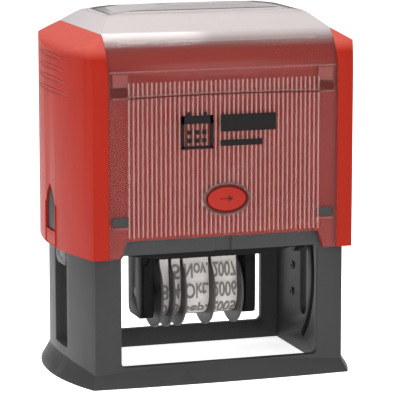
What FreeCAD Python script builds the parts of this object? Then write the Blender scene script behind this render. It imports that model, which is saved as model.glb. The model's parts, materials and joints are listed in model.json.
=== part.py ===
"""Rotary date stamp: self-inking stamp with a text plate round a four-band dater.

Units are millimetres. The origin is the centre of the foot on the paper plane, +X runs
along the text plate to the right, -Y is the front and +Z is up. Every piece is drawn at
rest: cap up, text plate face up against the ink pad.
"""
import FreeCAD, Part
import math
import os

from FreeCAD import Vector

# --- printing parts: the driving sizes --------------------------------------------------
PLATE_LENGTH = 75.0          # text plate along X
PLATE_WIDTH = 38.0           # text plate along Y
PLATE_THICKNESS = 2.2
STROKE = 24.0                # cap travel from rest to print
AXIS_TO_PRINT = 16.0         # carrier axle to printing face
CHARACTER_BAND = 2.9         # width of a one-digit band
WORD_BAND = 8.6              # width of a month or year band

# --- general clearances -----------------------------------------------------------------
FIT = 0.05                   # radial clearance of a running fit
THUMB_GAP = 0.1              # gap between neighbouring bands and discs
SEAT = 0.02                  # clearance of a fixed pin in its seat
SWING_GAP = 1.16             # text plate corner to frame wall
END_GAP = 1.1                # plate holder end to frame
SLIDE_GAP = 0.3              # cap parts sliding past the frame
COVER_GAP = 1.1              # cap core to frame, front and rear
SHELL_GAP = 0.1              # between the cap's layers

# --- walls ------------------------------------------------------------------------------
FRAME_WALL = 2.5
GUIDE_WALL = 3.0             # frame wall that guides the carrier axle
HOLDER_WALL = 1.6
CORE_WALL = 1.3
SHELL_WALL = 1.5

# --- plate holder -----------------------------------------------------------------------
HOLDER_RIM_Y = 0.8           # holder beyond the text plate, front and rear
HOLDER_RIM_X = 0.2           # holder beyond the text plate, each end
HOLDER_PLATE = 2.2
AXLE_R = 2.5
CAM_PIN_R = 1.4
CAM_ARM = 9.0                # cam pin to carrier axle
CAM_DEPTH = 2.0
CAM_PIN_LENGTH = 2.8
CAM_STEPS = 12               # points along the cam groove, less one
SKIRT_SLOPE = 20.5           # sloped part of the holder's skirt at each end
SKIRT_DROP = 1.3             # lowest edge of the skirt below the carrier axle
SKIRT_END_RISE = 2.0         # its ends above the carrier axle

HOLDER_HALF_X = PLATE_LENGTH / 2 + HOLDER_RIM_X
HOLDER_HALF_Y = PLATE_WIDTH / 2 + HOLDER_RIM_Y
AXIS_Z = AXIS_TO_PRINT + STROKE
PRINT_FACE_Z = AXIS_Z + AXIS_TO_PRINT
HOLDER_TOP_Z = PRINT_FACE_Z - PLATE_THICKNESS
HOLDER_SKIRT_Z = AXIS_Z - SKIRT_DROP
HOLDER_END_Z = AXIS_Z + SKIRT_END_RISE
SKIRT_FLAT_HALF = PLATE_LENGTH / 2 - SKIRT_SLOPE

# The plate corner rises a little while the carrier starts to turn.
CORNER_R = math.hypot(AXIS_TO_PRINT, PLATE_WIDTH / 2)
CORNER_START = math.atan2(AXIS_TO_PRINT, PLATE_WIDTH / 2)
CORNER_PEAK = math.acos(STROKE / (math.pi * CORNER_R))
CORNER_TOP_Z = (AXIS_Z - STROKE / math.pi * (CORNER_PEAK - CORNER_START)
                + CORNER_R * math.sin(CORNER_PEAK))

# --- dater: wheels and bands ------------------------------------------------------------
WHEEL_DROP = 15.5            # dater axle below the carrier axle, at rest
DATER_AXLE_R = 1.5
THUMB_DISC_R = 12.0
THUMB_DISC_T = 0.9
DRUM_R = 7.0
BAND_THICKNESS = 1.3
BRIDGE_R = 3.6
BRIDGE_TENON = 3.0           # square tenon of the bridge in the cheeks
CHEEK_WIDTH = 4.0
CHEEK_HALF_Y = 8.0
CHEEK_FOOT = 8.0             # cheek below the dater axle
CHEEK_GAP = 1.4              # end disc to cheek
CHEEK_CORNER_R = 3.0
PLATE_CORNER_R = 1.0         # text plate and ink pad
BAND_WINDOW_INSET = 0.35     # text plate's window edge inside the bands' round faces

WHEEL_Z = AXIS_Z - WHEEL_DROP
BRIDGE_Z = PRINT_FACE_Z - BRIDGE_R - FIT - BAND_THICKNESS
BANDS = (("day_tens", CHARACTER_BAND), ("day_units", CHARACTER_BAND),
         ("month", WORD_BAND), ("year", WORD_BAND))
DATER_PITCH_EXTRA = THUMB_DISC_T + 2 * THUMB_GAP
DATER_LENGTH = (sum(width for _, width in BANDS) + len(BANDS) * DATER_PITCH_EXTRA
                + THUMB_DISC_T)
DATER_OFFSET = -0.45         # centre of the dater along X
DATER_LEFT = DATER_OFFSET - DATER_LENGTH / 2
DATER_RIGHT = DATER_OFFSET + DATER_LENGTH / 2
CHEEK_LEFT = DATER_LEFT - CHEEK_GAP - CHEEK_WIDTH
CHEEK_RIGHT = DATER_RIGHT + CHEEK_GAP + CHEEK_WIDTH

# --- ink pad ----------------------------------------------------------------------------
PAD_GAP = 0.8                # highest plate corner to pad face
PAD_THICKNESS = 4.3
PAD_PROUD = 1.0              # pad below the rim of its tray
TRAY_FLOOR = 2.5
TRAY_WALL = 1.2
TRAY_LIP = 2.5
PAD_MARGIN = 3.0             # tray edge beyond the text plate, front and rear
PAD_HALF_Y = PLATE_WIDTH / 2 + PAD_MARGIN - TRAY_WALL - SHELL_GAP

PAD_FACE_Z = CORNER_TOP_Z + PAD_GAP
TRAY_BOTTOM_Z = PAD_FACE_Z + PAD_PROUD
TRAY_TOP_Z = PAD_FACE_Z + PAD_THICKNESS + TRAY_FLOOR

# --- frame ------------------------------------------------------------------------------
CAVITY_HALF_X = HOLDER_HALF_X + END_GAP
CAVITY_HALF_Y = CORNER_R + SWING_GAP
CHANNEL_HALF_Y = 7.0
CHANNEL_FLOOR_Z = 9.0
ARM_THICKNESS = 2.9
ARM_INNER_X = CAVITY_HALF_X + GUIDE_WALL + SLIDE_GAP
ARM_OUTER_X = ARM_INNER_X + ARM_THICKNESS
ARM_SIDE_GAP = 0.7           # slide arm to the channel's sides
ARM_HALF_Y = CHANNEL_HALF_Y - ARM_SIDE_GAP
ARM_FOOT_R = 3.0
ARM_PAD_HEIGHT = 8.0
ARM_PAD_SHARE = 0.4          # width of the arm's pad as a share of the arm
ARM_FOOT = 4.5               # arm below the carrier axle
END_WALL = 2.7               # frame wall at the corners
FRAME_CORNER_X = CAVITY_HALF_X + END_WALL
FRAME_TIP_X = ARM_OUTER_X + SLIDE_GAP
FRAME_HALF_Y = CAVITY_HALF_Y + FRAME_WALL
TRAY_BRIDGE = 3.0            # frame above the tray's slot
FRAME_TOP_Z = TRAY_TOP_Z + TRAY_BRIDGE
WINDOW_INSET = 4.5           # window's sides inside the text plate's ends
WINDOW_HALF_X = PLATE_LENGTH / 2 - WINDOW_INSET
WINDOW_SILL_Z = 6.2
WINDOW_HEAD_RISE = 2.3       # window's head above the carrier axle
WINDOW_HEAD_Z = AXIS_Z + WINDOW_HEAD_RISE
WINDOW_CORNER_R = 1.5
AXLE_SLOT_HALF = AXLE_R + SLIDE_GAP
RAIL_HEIGHT = 1.6
FOOT_SPREAD_X = 1.5
FOOT_SPREAD_Y = 2.5
FOOT_BULGE_Y = 1.3
FOOT_TIP_SPREAD = 4.2
FOOT_TIP_TAPER = 1.4
FOOT_TAPER_Z = 8.0
DECK_THICKNESS = 2.0
DECK_INSET = 0.3
DECK_PIN = 4.0               # spring pins on the deck

# --- cap --------------------------------------------------------------------------------
CAP_SKIRT = 2.0              # cap's lower edge above the carrier axle
CAP_BOTTOM_Z = AXIS_Z + CAP_SKIRT
CAP_HEIGHT = 77.0
CROWN_Y = 6.4                # fall of the top towards front and rear
CROWN_X = 2.4                # fall of the top towards the hood's bevels
HOOD_BEVEL = (4.5, 4.4)      # width and height of the bevel along the hood's sides
SHOULDER_R = 17.0
SHOULDER_TURN = math.radians(60)
SIDE_BEVEL = 6.3             # height of the bevel along the side shells' tops
CAP_TOP_Z = CAP_BOTTOM_Z + CAP_HEIGHT
CORE_INSET = SHELL_WALL + SHELL_GAP
CORE_INNER_INSET = CORE_INSET + CORE_WALL
CORNER_SHARE = 0.5           # the layers are thinner round the cap's corners
CAP_HALF_Y = FRAME_HALF_Y + COVER_GAP + CORE_INNER_INSET
CAP_CORNER_X = FRAME_CORNER_X + SLIDE_GAP + CORNER_SHARE * CORE_INNER_INSET
CAP_TIP_X = FRAME_TIP_X + SLIDE_GAP + CORE_INNER_INSET
HOOD_INSET = 0.8             # hood's sides inside the frame's cavity
HOOD_HALF_X = CAVITY_HALF_X - HOOD_INSET
HOOD_NOTCH = (4.0, 5.9)      # notch's foot and top inside the hood's sides
HOOD_NOTCH_HEIGHT = 5.5
HOOD_STEP = 59.0             # step in the hood above the cap's lower edge
HOOD_STEP_Z = CAP_BOTTOM_Z + HOOD_STEP
CARD_THICKNESS = 0.3
CARD_MARGIN = 5.0
CARD_SHOULDER = 0.4         # share of the shoulder that the card stays off
CLIP_DEPTH = 0.9
CLIP_GAP = 0.25
CLIP_INSET = 1.2             # clip windows inside the hood's sides
LOWER_CLIP = (5.4, 3.0)      # width and height of the hood's lower clip windows
UPPER_CLIP = (5.4, 4.5)
LOWER_CLIP_RISE = 10.2
UPPER_CLIP_DROP = 5.0        # upper clips below the hood's step
LOWER_CLIP_Z = CAP_BOTTOM_Z + LOWER_CLIP_RISE
UPPER_CLIP_Z = HOOD_STEP_Z - UPPER_CLIP_DROP

# --- lock button and side catches -------------------------------------------------------
BUTTON_X = 0.8
BUTTON_RISE = 17.6           # button above the cap's lower edge
BUTTON_Z = CAP_BOTTOM_Z + BUTTON_RISE
BUTTON_LENGTH = 14.0
BUTTON_HEIGHT = 8.4
BUTTON_GAP = 0.2
BUTTON_RIM = 1.0
BUTTON_TRAVEL = 0.8
BUTTON_RECESS = 0.1
STEM_R = 2.2
LEAF_T = 0.25
LEAF_LENGTH = 24.0
LEAF_HEIGHT = 6.0
CATCH_LENGTH = 15.0
CATCH_WIDTH = 10.6
CATCH_RISE = 5.0             # catch above the cap's lower edge
CATCH_Z = CAP_BOTTOM_Z + CATCH_RISE
CATCH_TRAVEL = 0.7
CATCH_RIM = 0.8
CATCH_GAP = 0.2              # catch to its opening, all round
ARCH_SHOULDER = 0.8          # arch height as a share of its width
ARCH_BOW = (0.68, 0.47)      # bulge of each side of the arch, as shares of half width and width
CATCH_RECESS = 0.6           # catch face below the side shell's face

# --- springs ----------------------------------------------------------------------------
SPRING_X = 28.0
SPRING_OUTER_R = 6.0
SPRING_WIRE = 1.2
SPRING_PIN_R = 3.8
SPRING_SEAT_WALL = 1.0
SPRING_DROP = 11.0           # spring's seat below the cap's top
SPRING_COLLAR = 4.0
SPRING_PIN = 8.0
SPRING_TOP_Z = CAP_TOP_Z - SPRING_DROP
SPRING_BOTTOM_Z = FRAME_TOP_Z + DECK_THICKNESS


# --- shape helpers ----------------------------------------------------------------------
def box(x_range, y_range, z_range):
    """Box between two values on each axis."""
    size = [high - low for low, high in (x_range, y_range, z_range)]
    return Part.makeBox(*size, Vector(x_range[0], y_range[0], z_range[0]))


def rod(start, end, radius):
    """Round rod between two points."""
    axis = Vector(*end) - Vector(*start)
    return Part.makeCylinder(radius, axis.Length, Vector(*start), axis)


def ring(start, end, outer, inner):
    """Round tube between two points."""
    return rod(start, end, outer).cut(rod(start, end, inner))


def polygon_solid(points, direction):
    """Closed outline of straight edges, pushed along a direction."""
    corners = [Vector(*point) for point in points]
    outline = Part.makePolygon(corners + corners[:1])
    return Part.Face(outline).extrude(Vector(*direction))


def round_edges(shape, radius, chosen):
    """Fillet the edges that a test picks."""
    return shape.makeFillet(radius, [edge for edge in shape.Edges if chosen(edge)])


def runs_along(edge, axis):
    """True for a straight edge along one axis: 0 is X, 1 is Y and 2 is Z."""
    if not isinstance(edge.Curve, (Part.Line, Part.LineSegment)):
        return False
    step = edge.Vertexes[-1].Point - edge.Vertexes[0].Point
    return abs(abs(step[axis]) - step.Length) < 1e-6


def mirrored(shape):
    """The same piece on the other side of the YZ plane."""
    return shape.mirror(Vector(0, 0, 0), Vector(1, 0, 0))


def plan_outline(corner_x, half_y, tip_x, z, bow_y=0.0):
    """Plan of the stamp: ends bowed out to tip_x, front and rear bowed by bow_y."""
    corners = [Vector(-corner_x, -half_y, z), Vector(corner_x, -half_y, z),
               Vector(corner_x, half_y, z), Vector(-corner_x, half_y, z)]
    middles = [Vector(0, -half_y - bow_y, z), Vector(tip_x, 0, z),
               Vector(0, half_y + bow_y, z), Vector(-tip_x, 0, z)]
    edges = []
    for index, middle in enumerate(middles):
        start, end = corners[index], corners[(index + 1) % 4]
        straight = middle.y != 0 and bow_y == 0
        curve = Part.LineSegment(start, end) if straight else Part.Arc(start, middle, end)
        edges.append(curve.toShape())
    return Part.Wire(edges)


def plan_prism(corner_x, half_y, tip_x, z_range):
    """The stamp's plan pushed up between two heights."""
    outline = plan_outline(corner_x, half_y, tip_x, z_range[0])
    return Part.Face(outline).extrude(Vector(0, 0, z_range[1] - z_range[0]))


def oval(length, height, centre, y_range):
    """Elliptic block along Y, its length along X."""
    x, z = centre
    plane = Part.Ellipse(Vector(length / 2, 0, 0), Vector(0, height / 2, 0), Vector(0, 0, 0))
    block = Part.Face(Part.Wire(plane.toShape())).extrude(Vector(0, 0, y_range[1] - y_range[0]))
    block.rotate(Vector(0, 0, 0), Vector(1, 0, 0), -90)
    block.translate(Vector(x, y_range[0], z))
    return block


def cap_hull(inset):
    """The cap's closed outer shape, or the same shape set in for an inner layer."""
    half_y = CAP_HALF_Y - inset
    tip_x = CAP_TIP_X - inset
    top = CAP_TOP_Z - inset
    radius = SHOULDER_R - inset
    plan = plan_prism(CAP_CORNER_X - CORNER_SHARE * inset, half_y, tip_x, (CAP_BOTTOM_Z, top))
    centre_y = half_y - radius
    centre_z = top - CROWN_Y - radius * math.sin(SHOULDER_TURN)

    def shoulder(side, turn):
        return Vector(-2 * tip_x, side * (centre_y + radius * math.cos(turn)),
                      centre_z + radius * math.sin(turn))

    feet = [Vector(-2 * tip_x, side * half_y, CAP_BOTTOM_Z) for side in (-1, 1)]
    front, rear = ([shoulder(side, turn) for turn in (0, SHOULDER_TURN / 2, SHOULDER_TURN)]
                   for side in (-1, 1))
    crown = Vector(-2 * tip_x, 0, top)
    profile = Part.Wire([
        Part.LineSegment(feet[0], front[0]).toShape(), Part.Arc(*front).toShape(),
        Part.Arc(front[2], crown, rear[2]).toShape(), Part.Arc(*rear[::-1]).toShape(),
        Part.LineSegment(rear[0], feet[1]).toShape(),
        Part.LineSegment(feet[1], feet[0]).toShape()])
    side_cut = Part.Face(profile).extrude(Vector(4 * tip_x, 0, 0))

    y = -2 * half_y
    crown_x, crown_z = HOOD_HALF_X - HOOD_BEVEL[0], top - CROWN_X
    edge_z = crown_z - HOOD_BEVEL[1]
    bevel_z = edge_z - SIDE_BEVEL
    right = ((tip_x, CAP_BOTTOM_Z), (tip_x, bevel_z), (HOOD_HALF_X, edge_z), (crown_x, crown_z))
    corners = [Vector(-x, y, z) for x, z in right[::-1]] + [Vector(x, y, z) for x, z in right]
    edges = [Part.LineSegment(a, b).toShape() for a, b in zip(corners, corners[1:])]
    edges.append(Part.Arc(corners[-1], Vector(0, y, top), corners[0]).toShape())
    front_cut = Part.Face(Part.Wire(edges)).extrude(Vector(0, 4 * half_y, 0))
    return plan.common(side_cut).common(front_cut)


# --- frame ------------------------------------------------------------------------------
def cam_path_point(share, offset):
    """Point of the cam groove's edge in the YZ plane at a share of the stroke."""
    turn = math.pi * share
    y = -CAM_ARM * math.sin(turn)
    z = AXIS_Z - STROKE * share + CAM_ARM * math.cos(turn)
    slope_y = -CAM_ARM * math.pi * math.cos(turn)
    slope_z = -STROKE - CAM_ARM * math.pi * math.sin(turn)
    length = math.hypot(slope_y, slope_z)
    return y - offset * slope_z / length, z + offset * slope_y / length


def cam_groove():
    """Groove for the cam pin: the pin's path as the carrier drops and turns over."""
    radius = CAM_PIN_R + FIT
    x = CAVITY_HALF_X - 1.0
    depth = Vector(CAM_DEPTH + 1.0, 0, 0)
    shares = [index / CAM_STEPS for index in range(CAM_STEPS + 1)]
    edges, ends = [], []
    for offset in (-radius, radius):
        points = [Vector(x, *cam_path_point(share, offset)) for share in shares]
        curve = Part.BSplineCurve()
        curve.interpolate(points)
        edges.append(curve.toShape())
        ends.append((points[0], points[-1]))
    for index in (0, 1):
        edges.append(Part.LineSegment(ends[0][index], ends[1][index]).toShape())
    outline = Part.Wire(Part.__sortEdges__(edges))
    groove = Part.Face(outline).extrude(depth)
    for share in (0, 1):
        y, z = cam_path_point(share, 0)
        groove = groove.fuse(rod((x, y, z), (x + depth.x, y, z), radius))
    return groove


def axle_slot():
    """Upright slot through the guide wall for the carrier axle."""
    x_range = (CAVITY_HALF_X - 1, ARM_INNER_X)
    low, high = AXIS_Z - STROKE, AXIS_Z
    slot = box(x_range, (-AXLE_SLOT_HALF, AXLE_SLOT_HALF), (low, high))
    for z in (low, high):
        slot = slot.fuse(rod((x_range[0], 0, z), (x_range[1], 0, z), AXLE_SLOT_HALF))
    return slot


def foot_flare():
    """Flared foot: a bowed outline on the paper that narrows upwards."""
    bottom = plan_outline(FRAME_CORNER_X + FOOT_SPREAD_X, FRAME_HALF_Y + FOOT_SPREAD_Y,
                          FRAME_TIP_X + FOOT_TIP_SPREAD, 0, FOOT_BULGE_Y)
    top = plan_outline(FRAME_CORNER_X - FOOT_SPREAD_X, FRAME_HALF_Y - FOOT_SPREAD_Y,
                       FRAME_TIP_X - FOOT_TIP_TAPER, FOOT_TAPER_Z, FOOT_BULGE_Y)
    return Part.makeLoft([bottom, top], True, True)


def frame_windows():
    """Front and rear openings through which the dater swings."""
    depth = FRAME_HALF_Y + 2 * FOOT_SPREAD_Y + FOOT_BULGE_Y
    opening = box((-WINDOW_HALF_X, WINDOW_HALF_X), (-depth, depth),
                  (WINDOW_SILL_Z, WINDOW_HEAD_Z))
    return round_edges(opening, WINDOW_CORNER_R, lambda edge: runs_along(edge, 1))


def lock_groove():
    """Blind groove down the front wall that the lock button's stem rides in."""
    half = STEM_R + 2 * SLIDE_GAP
    return box((BUTTON_X - half, BUTTON_X + half),
               (-FRAME_HALF_Y - 1, -FRAME_HALF_Y + BUTTON_TRAVEL),
               (WINDOW_HEAD_Z - 1, BUTTON_Z + half))


def make_base_frame():
    """Frame with flared foot, guide walls, cam grooves and pad rails."""
    frame = plan_prism(FRAME_CORNER_X, FRAME_HALF_Y, FRAME_TIP_X, (0, FRAME_TOP_Z))
    frame = frame.fuse(foot_flare())
    frame = frame.cut(box((-CAVITY_HALF_X, CAVITY_HALF_X), (-CAVITY_HALF_Y, CAVITY_HALF_Y),
                          (-1, FRAME_TOP_Z + 1)))
    frame = frame.cut(frame_windows()).cut(lock_groove())
    rail_z = (TRAY_BOTTOM_Z - RAIL_HEIGHT, TRAY_BOTTOM_Z)
    for side in (-1, 1):
        y_pair = sorted((side * CAVITY_HALF_Y, side * (PAD_HALF_Y + SHELL_GAP)))
        frame = frame.fuse(box((-CAVITY_HALF_X, CAVITY_HALF_X), y_pair, rail_z))
    tray_slot = box((-CAVITY_HALF_X, CAVITY_HALF_X), (0, FRAME_HALF_Y + 1),
                    (TRAY_BOTTOM_Z, TRAY_TOP_Z + SLIDE_GAP))
    frame = frame.cut(tray_slot)
    channel = box((CAVITY_HALF_X + GUIDE_WALL, FRAME_TIP_X + 9),
                  (-CHANNEL_HALF_Y, CHANNEL_HALF_Y), (CHANNEL_FLOOR_Z, FRAME_TOP_Z + 1))
    for cutter in (channel, axle_slot(), cam_groove()):
        frame = frame.cut(cutter).cut(mirrored(cutter))
    return frame.removeSplitter()


def make_deck_plate():
    """Plate on top of the frame that carries the return springs."""
    top = FRAME_TOP_Z + DECK_THICKNESS
    deck = plan_prism(FRAME_CORNER_X - DECK_INSET, FRAME_HALF_Y - DECK_INSET,
                      FRAME_TIP_X - DECK_INSET, (FRAME_TOP_Z, top))
    notch = box((CAVITY_HALF_X + GUIDE_WALL, FRAME_TIP_X + 1),
                (-CHANNEL_HALF_Y, CHANNEL_HALF_Y), (FRAME_TOP_Z - 1, top + 1))
    deck = deck.cut(notch).cut(mirrored(notch))
    for x in (-SPRING_X, SPRING_X):
        deck = deck.fuse(rod((x, 0, top), (x, 0, top + DECK_PIN), SPRING_PIN_R))
    return deck


def make_ink_pad_tray():
    """Tray that slides in from the rear and holds the pad face down."""
    x = CAVITY_HALF_X - SLIDE_GAP
    edge_y = PLATE_WIDTH / 2 + PAD_MARGIN
    tray = box((-x, x), (-edge_y, FRAME_HALF_Y), (TRAY_BOTTOM_Z, TRAY_TOP_Z))
    x_range = (-x + TRAY_WALL, x - TRAY_WALL)
    z_range = (TRAY_BOTTOM_Z - 1, TRAY_TOP_Z - TRAY_FLOOR)
    pocket = box(x_range, (TRAY_WALL - edge_y, edge_y - TRAY_WALL), z_range)
    grip = box(x_range, (edge_y, FRAME_HALF_Y - TRAY_LIP), z_range)
    return tray.cut(pocket).cut(grip)


def make_ink_pad():
    """Felt pad in the tray, face down."""
    x = CAVITY_HALF_X - SLIDE_GAP - TRAY_WALL - SHELL_GAP
    pad = box((-x, x), (-PAD_HALF_Y, PAD_HALF_Y), (PAD_FACE_Z, PAD_FACE_Z + PAD_THICKNESS))
    return round_edges(pad, PLATE_CORNER_R, lambda edge: runs_along(edge, 2))


def make_return_spring(side):
    """Envelope of one return spring between deck and cap."""
    return ring((side * SPRING_X, 0, SPRING_BOTTOM_Z), (side * SPRING_X, 0, SPRING_TOP_Z),
                SPRING_OUTER_R, SPRING_OUTER_R - SPRING_WIRE)


# --- cap --------------------------------------------------------------------------------
def hood_notch():
    """Trapezoid cut out of the front and rear lower edges."""
    reach = CAP_HALF_Y + 1
    foot, top = (HOOD_HALF_X - size for size in HOOD_NOTCH)
    z_low, z_high = CAP_BOTTOM_Z - 1, CAP_BOTTOM_Z + HOOD_NOTCH_HEIGHT
    points = [(-foot, -reach, z_low), (foot, -reach, z_low), (foot, -reach, CAP_BOTTOM_Z),
              (top, -reach, z_high), (-top, -reach, z_high), (-foot, -reach, CAP_BOTTOM_Z)]
    return polygon_solid(points, (0, 2 * reach, 0))


def clip_boxes(gap):
    """The hood's clip windows, front and rear, or the lugs that fill them."""
    back = CAP_HALF_Y - SHELL_WALL - CORE_WALL / 2
    depth = (back, CAP_HALF_Y - SHELL_WALL + CLIP_DEPTH if gap else CAP_HALF_Y + 1)
    boxes = []
    for (width, height), z in ((LOWER_CLIP, LOWER_CLIP_Z), (UPPER_CLIP, UPPER_CLIP_Z)):
        x = HOOD_HALF_X - CLIP_INSET - width
        for side in (-1, 1):
            x_pair = sorted((side * (x + gap), side * (x + width - gap)))
            for face in (-1, 1):
                y_pair = sorted((face * depth[0], face * depth[1]))
                boxes.append(box(x_pair, y_pair, (z + gap, z + height - gap)))
    return boxes


def card_zone(margin):
    """Block over the flat of the core's top, where the index card lies."""
    x = HOOD_HALF_X - CARD_MARGIN + margin
    y = CAP_HALF_Y - SHOULDER_R * CARD_SHOULDER + margin
    return box((-x, x), (-y, y), (HOOD_STEP_Z, CAP_TOP_Z))


def catch_opening(length, width, x_range):
    """Gothic arch opening in the cap's end, for the side catch or its rim."""
    low = CATCH_Z - (length - CATCH_LENGTH) / 2
    half = width / 2
    shoulder_z = low + length - width * ARCH_SHOULDER
    x = x_range[0]
    foot = [Vector(x, -half, low), Vector(x, half, low)]
    shoulder = [Vector(x, half, shoulder_z), Vector(x, -half, shoulder_z)]
    tip = Vector(x, 0, low + length)
    bow = [Vector(x, side * half * ARCH_BOW[0], shoulder_z + width * ARCH_BOW[1])
           for side in (1, -1)]
    edges = [Part.LineSegment(foot[0], foot[1]).toShape(),
             Part.LineSegment(foot[1], shoulder[0]).toShape(),
             Part.Arc(shoulder[0], bow[0], tip).toShape(),
             Part.Arc(tip, bow[1], shoulder[1]).toShape(),
             Part.LineSegment(shoulder[1], foot[0]).toShape()]
    face = Part.Face(Part.Wire(edges))
    return face.extrude(Vector(x_range[1] - x, 0, 0))


def button_hole(rim):
    """Oval opening for the lock button, or wider for its rim."""
    grow = 2 * (BUTTON_GAP + rim)
    return oval(BUTTON_LENGTH + grow, BUTTON_HEIGHT + grow, (BUTTON_X, BUTTON_Z),
                   (-CAP_HALF_Y - 1, -CAP_HALF_Y + CORE_INNER_INSET + 1))


def make_cap_core():
    """Inner shell of the cap: carries hood, side shells, arms and spring seats."""
    inner = cap_hull(CORE_INNER_INSET)
    core = cap_hull(CORE_INSET).cut(inner)
    core = core.cut(hood_notch()).cut(button_hole(BUTTON_RIM))
    recess = cap_hull(0).cut(cap_hull(CORE_INSET + CARD_THICKNESS)).common(card_zone(SHELL_GAP))
    core = core.cut(recess)
    rim_length, rim_width = (size + 2 * (CATCH_RIM + CATCH_GAP)
                             for size in (CATCH_LENGTH, CATCH_WIDTH))
    opening = catch_opening(rim_length, rim_width,
                            (CAP_TIP_X - CORE_INNER_INSET - 2, CAP_TIP_X))
    core = core.cut(opening).cut(mirrored(opening))
    for lug in clip_boxes(CLIP_GAP):
        core = core.fuse(lug)
    for x in (-SPRING_X, SPRING_X):
        seat_r = SPRING_OUTER_R + SHELL_GAP + SPRING_SEAT_WALL
        boss = rod((x, 0, SPRING_TOP_Z), (x, 0, CAP_TOP_Z), seat_r)
        collar = ring((x, 0, SPRING_TOP_Z - SPRING_COLLAR), (x, 0, SPRING_TOP_Z), seat_r,
                      SPRING_OUTER_R + SHELL_GAP)
        pin = rod((x, 0, SPRING_TOP_Z - SPRING_PIN), (x, 0, SPRING_TOP_Z), SPRING_PIN_R)
        core = core.fuse([boss.common(cap_hull(CORE_INSET + 1)), collar, pin])
    return core.removeSplitter()


def cap_skin():
    """The cap's outer skin, before it is parted into hood and side shells."""
    return cap_hull(0).cut(cap_hull(SHELL_WALL))


def make_clear_hood():
    """Clear cover over the front, top and rear, clipped on at its corners."""
    reach = 2 * CAP_TIP_X
    hood = cap_skin().common(box((-HOOD_HALF_X, HOOD_HALF_X), (-reach, reach), (0, 2 * reach)))
    hood = hood.cut(hood_notch()).cut(button_hole(0))
    for window in clip_boxes(0):
        hood = hood.cut(window)
    return hood


def make_side_shell():
    """Coloured shell round the right end of the cap, with the side catch's opening."""
    reach = 2 * CAP_TIP_X
    shell = cap_skin().common(
        box((HOOD_HALF_X + SHELL_GAP, reach), (-reach, reach), (0, 2 * reach)))
    opening = catch_opening(CATCH_LENGTH + 2 * CATCH_GAP, CATCH_WIDTH + 2 * CATCH_GAP,
                            (CAP_TIP_X - CORE_INNER_INSET, CAP_TIP_X + 1))
    return shell.cut(opening)


def make_index_card():
    """Printed card between the core's top and the clear hood."""
    layer = cap_hull(CORE_INSET).cut(cap_hull(CORE_INSET + CARD_THICKNESS))
    return layer.common(card_zone(0))


def make_slide_arm():
    """Arm that hangs from the core and carries the right end of the carrier axle."""
    low, high = AXIS_Z - ARM_FOOT, HOOD_STEP_Z - SLIDE_GAP
    arm = box((ARM_INNER_X, ARM_OUTER_X), (-ARM_HALF_Y, ARM_HALF_Y), (low, high))
    arm = round_edges(arm, ARM_FOOT_R, lambda edge: runs_along(edge, 0)
                      and edge.BoundBox.ZMax < low + 1)
    pad_y = ARM_HALF_Y * ARM_PAD_SHARE
    pad = box((ARM_OUTER_X, CAP_TIP_X - CORE_INNER_INSET - SHELL_GAP),
              (-pad_y, pad_y), (high - ARM_PAD_HEIGHT, high))
    hole = rod((ARM_INNER_X - 1, 0, AXIS_Z), (ARM_OUTER_X + 1, 0, AXIS_Z), AXLE_R + FIT)
    return arm.fuse(pad).cut(hole).removeSplitter()


def make_lock_button():
    """Oval button in the hood with a rim behind it and a stem towards the frame."""
    face_y = -CAP_HALF_Y + BUTTON_RECESS
    rim_y = -CAP_HALF_Y + SHELL_WALL + SHELL_GAP / 2
    centre = (BUTTON_X, BUTTON_Z)
    rim_back_y = -FRAME_HALF_Y - COVER_GAP - BUTTON_TRAVEL - FIT
    face = oval(BUTTON_LENGTH, BUTTON_HEIGHT, centre, (face_y, rim_y))
    rim = oval(BUTTON_LENGTH + 2 * BUTTON_RIM, BUTTON_HEIGHT + 2 * BUTTON_RIM, centre,
                  (rim_y, rim_back_y))
    stem = rod((BUTTON_X, rim_y, BUTTON_Z),
               (BUTTON_X, -FRAME_HALF_Y - SLIDE_GAP, BUTTON_Z), STEM_R)
    return face.fuse([rim, stem]).removeSplitter()


def make_button_leaf_spring():
    """Steel leaf on the core's inside that carries the lock button's rim."""
    y_range = (-FRAME_HALF_Y - COVER_GAP, -FRAME_HALF_Y - COVER_GAP + LEAF_T)
    leaf = oval(LEAF_LENGTH, LEAF_HEIGHT, (BUTTON_X, BUTTON_Z), y_range)
    return leaf.cut(rod((BUTTON_X, y_range[0] - 1, BUTTON_Z),
                        (BUTTON_X, y_range[1] + 1, BUTTON_Z), STEM_R + BUTTON_GAP))


def make_side_catch():
    """Arched thumb catch in the right side shell, with a rim that keeps it in."""
    rim_inset = SHELL_WALL + SHELL_GAP / 2
    back = cap_hull(CORE_INNER_INSET - CATCH_TRAVEL - SHELL_GAP)
    x_range = (CAP_TIP_X - 2 * CORE_INNER_INSET, CAP_TIP_X + 1)
    body = catch_opening(CATCH_LENGTH, CATCH_WIDTH, x_range).common(cap_hull(CATCH_RECESS))
    rim = catch_opening(CATCH_LENGTH + 2 * CATCH_RIM, CATCH_WIDTH + 2 * CATCH_RIM, x_range)
    return body.fuse(rim.common(cap_hull(rim_inset))).cut(back).removeSplitter()


# --- carrier ----------------------------------------------------------------------------
def holder_window():
    """Opening in the plate holder through which the dater's cheeks rise."""
    return box((CHEEK_LEFT - SHELL_GAP, CHEEK_RIGHT + SHELL_GAP),
               (-CHEEK_HALF_Y - SHELL_GAP, CHEEK_HALF_Y + SHELL_GAP),
               (HOLDER_TOP_Z - HOLDER_PLATE - 1, HOLDER_TOP_Z + 1))


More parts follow.
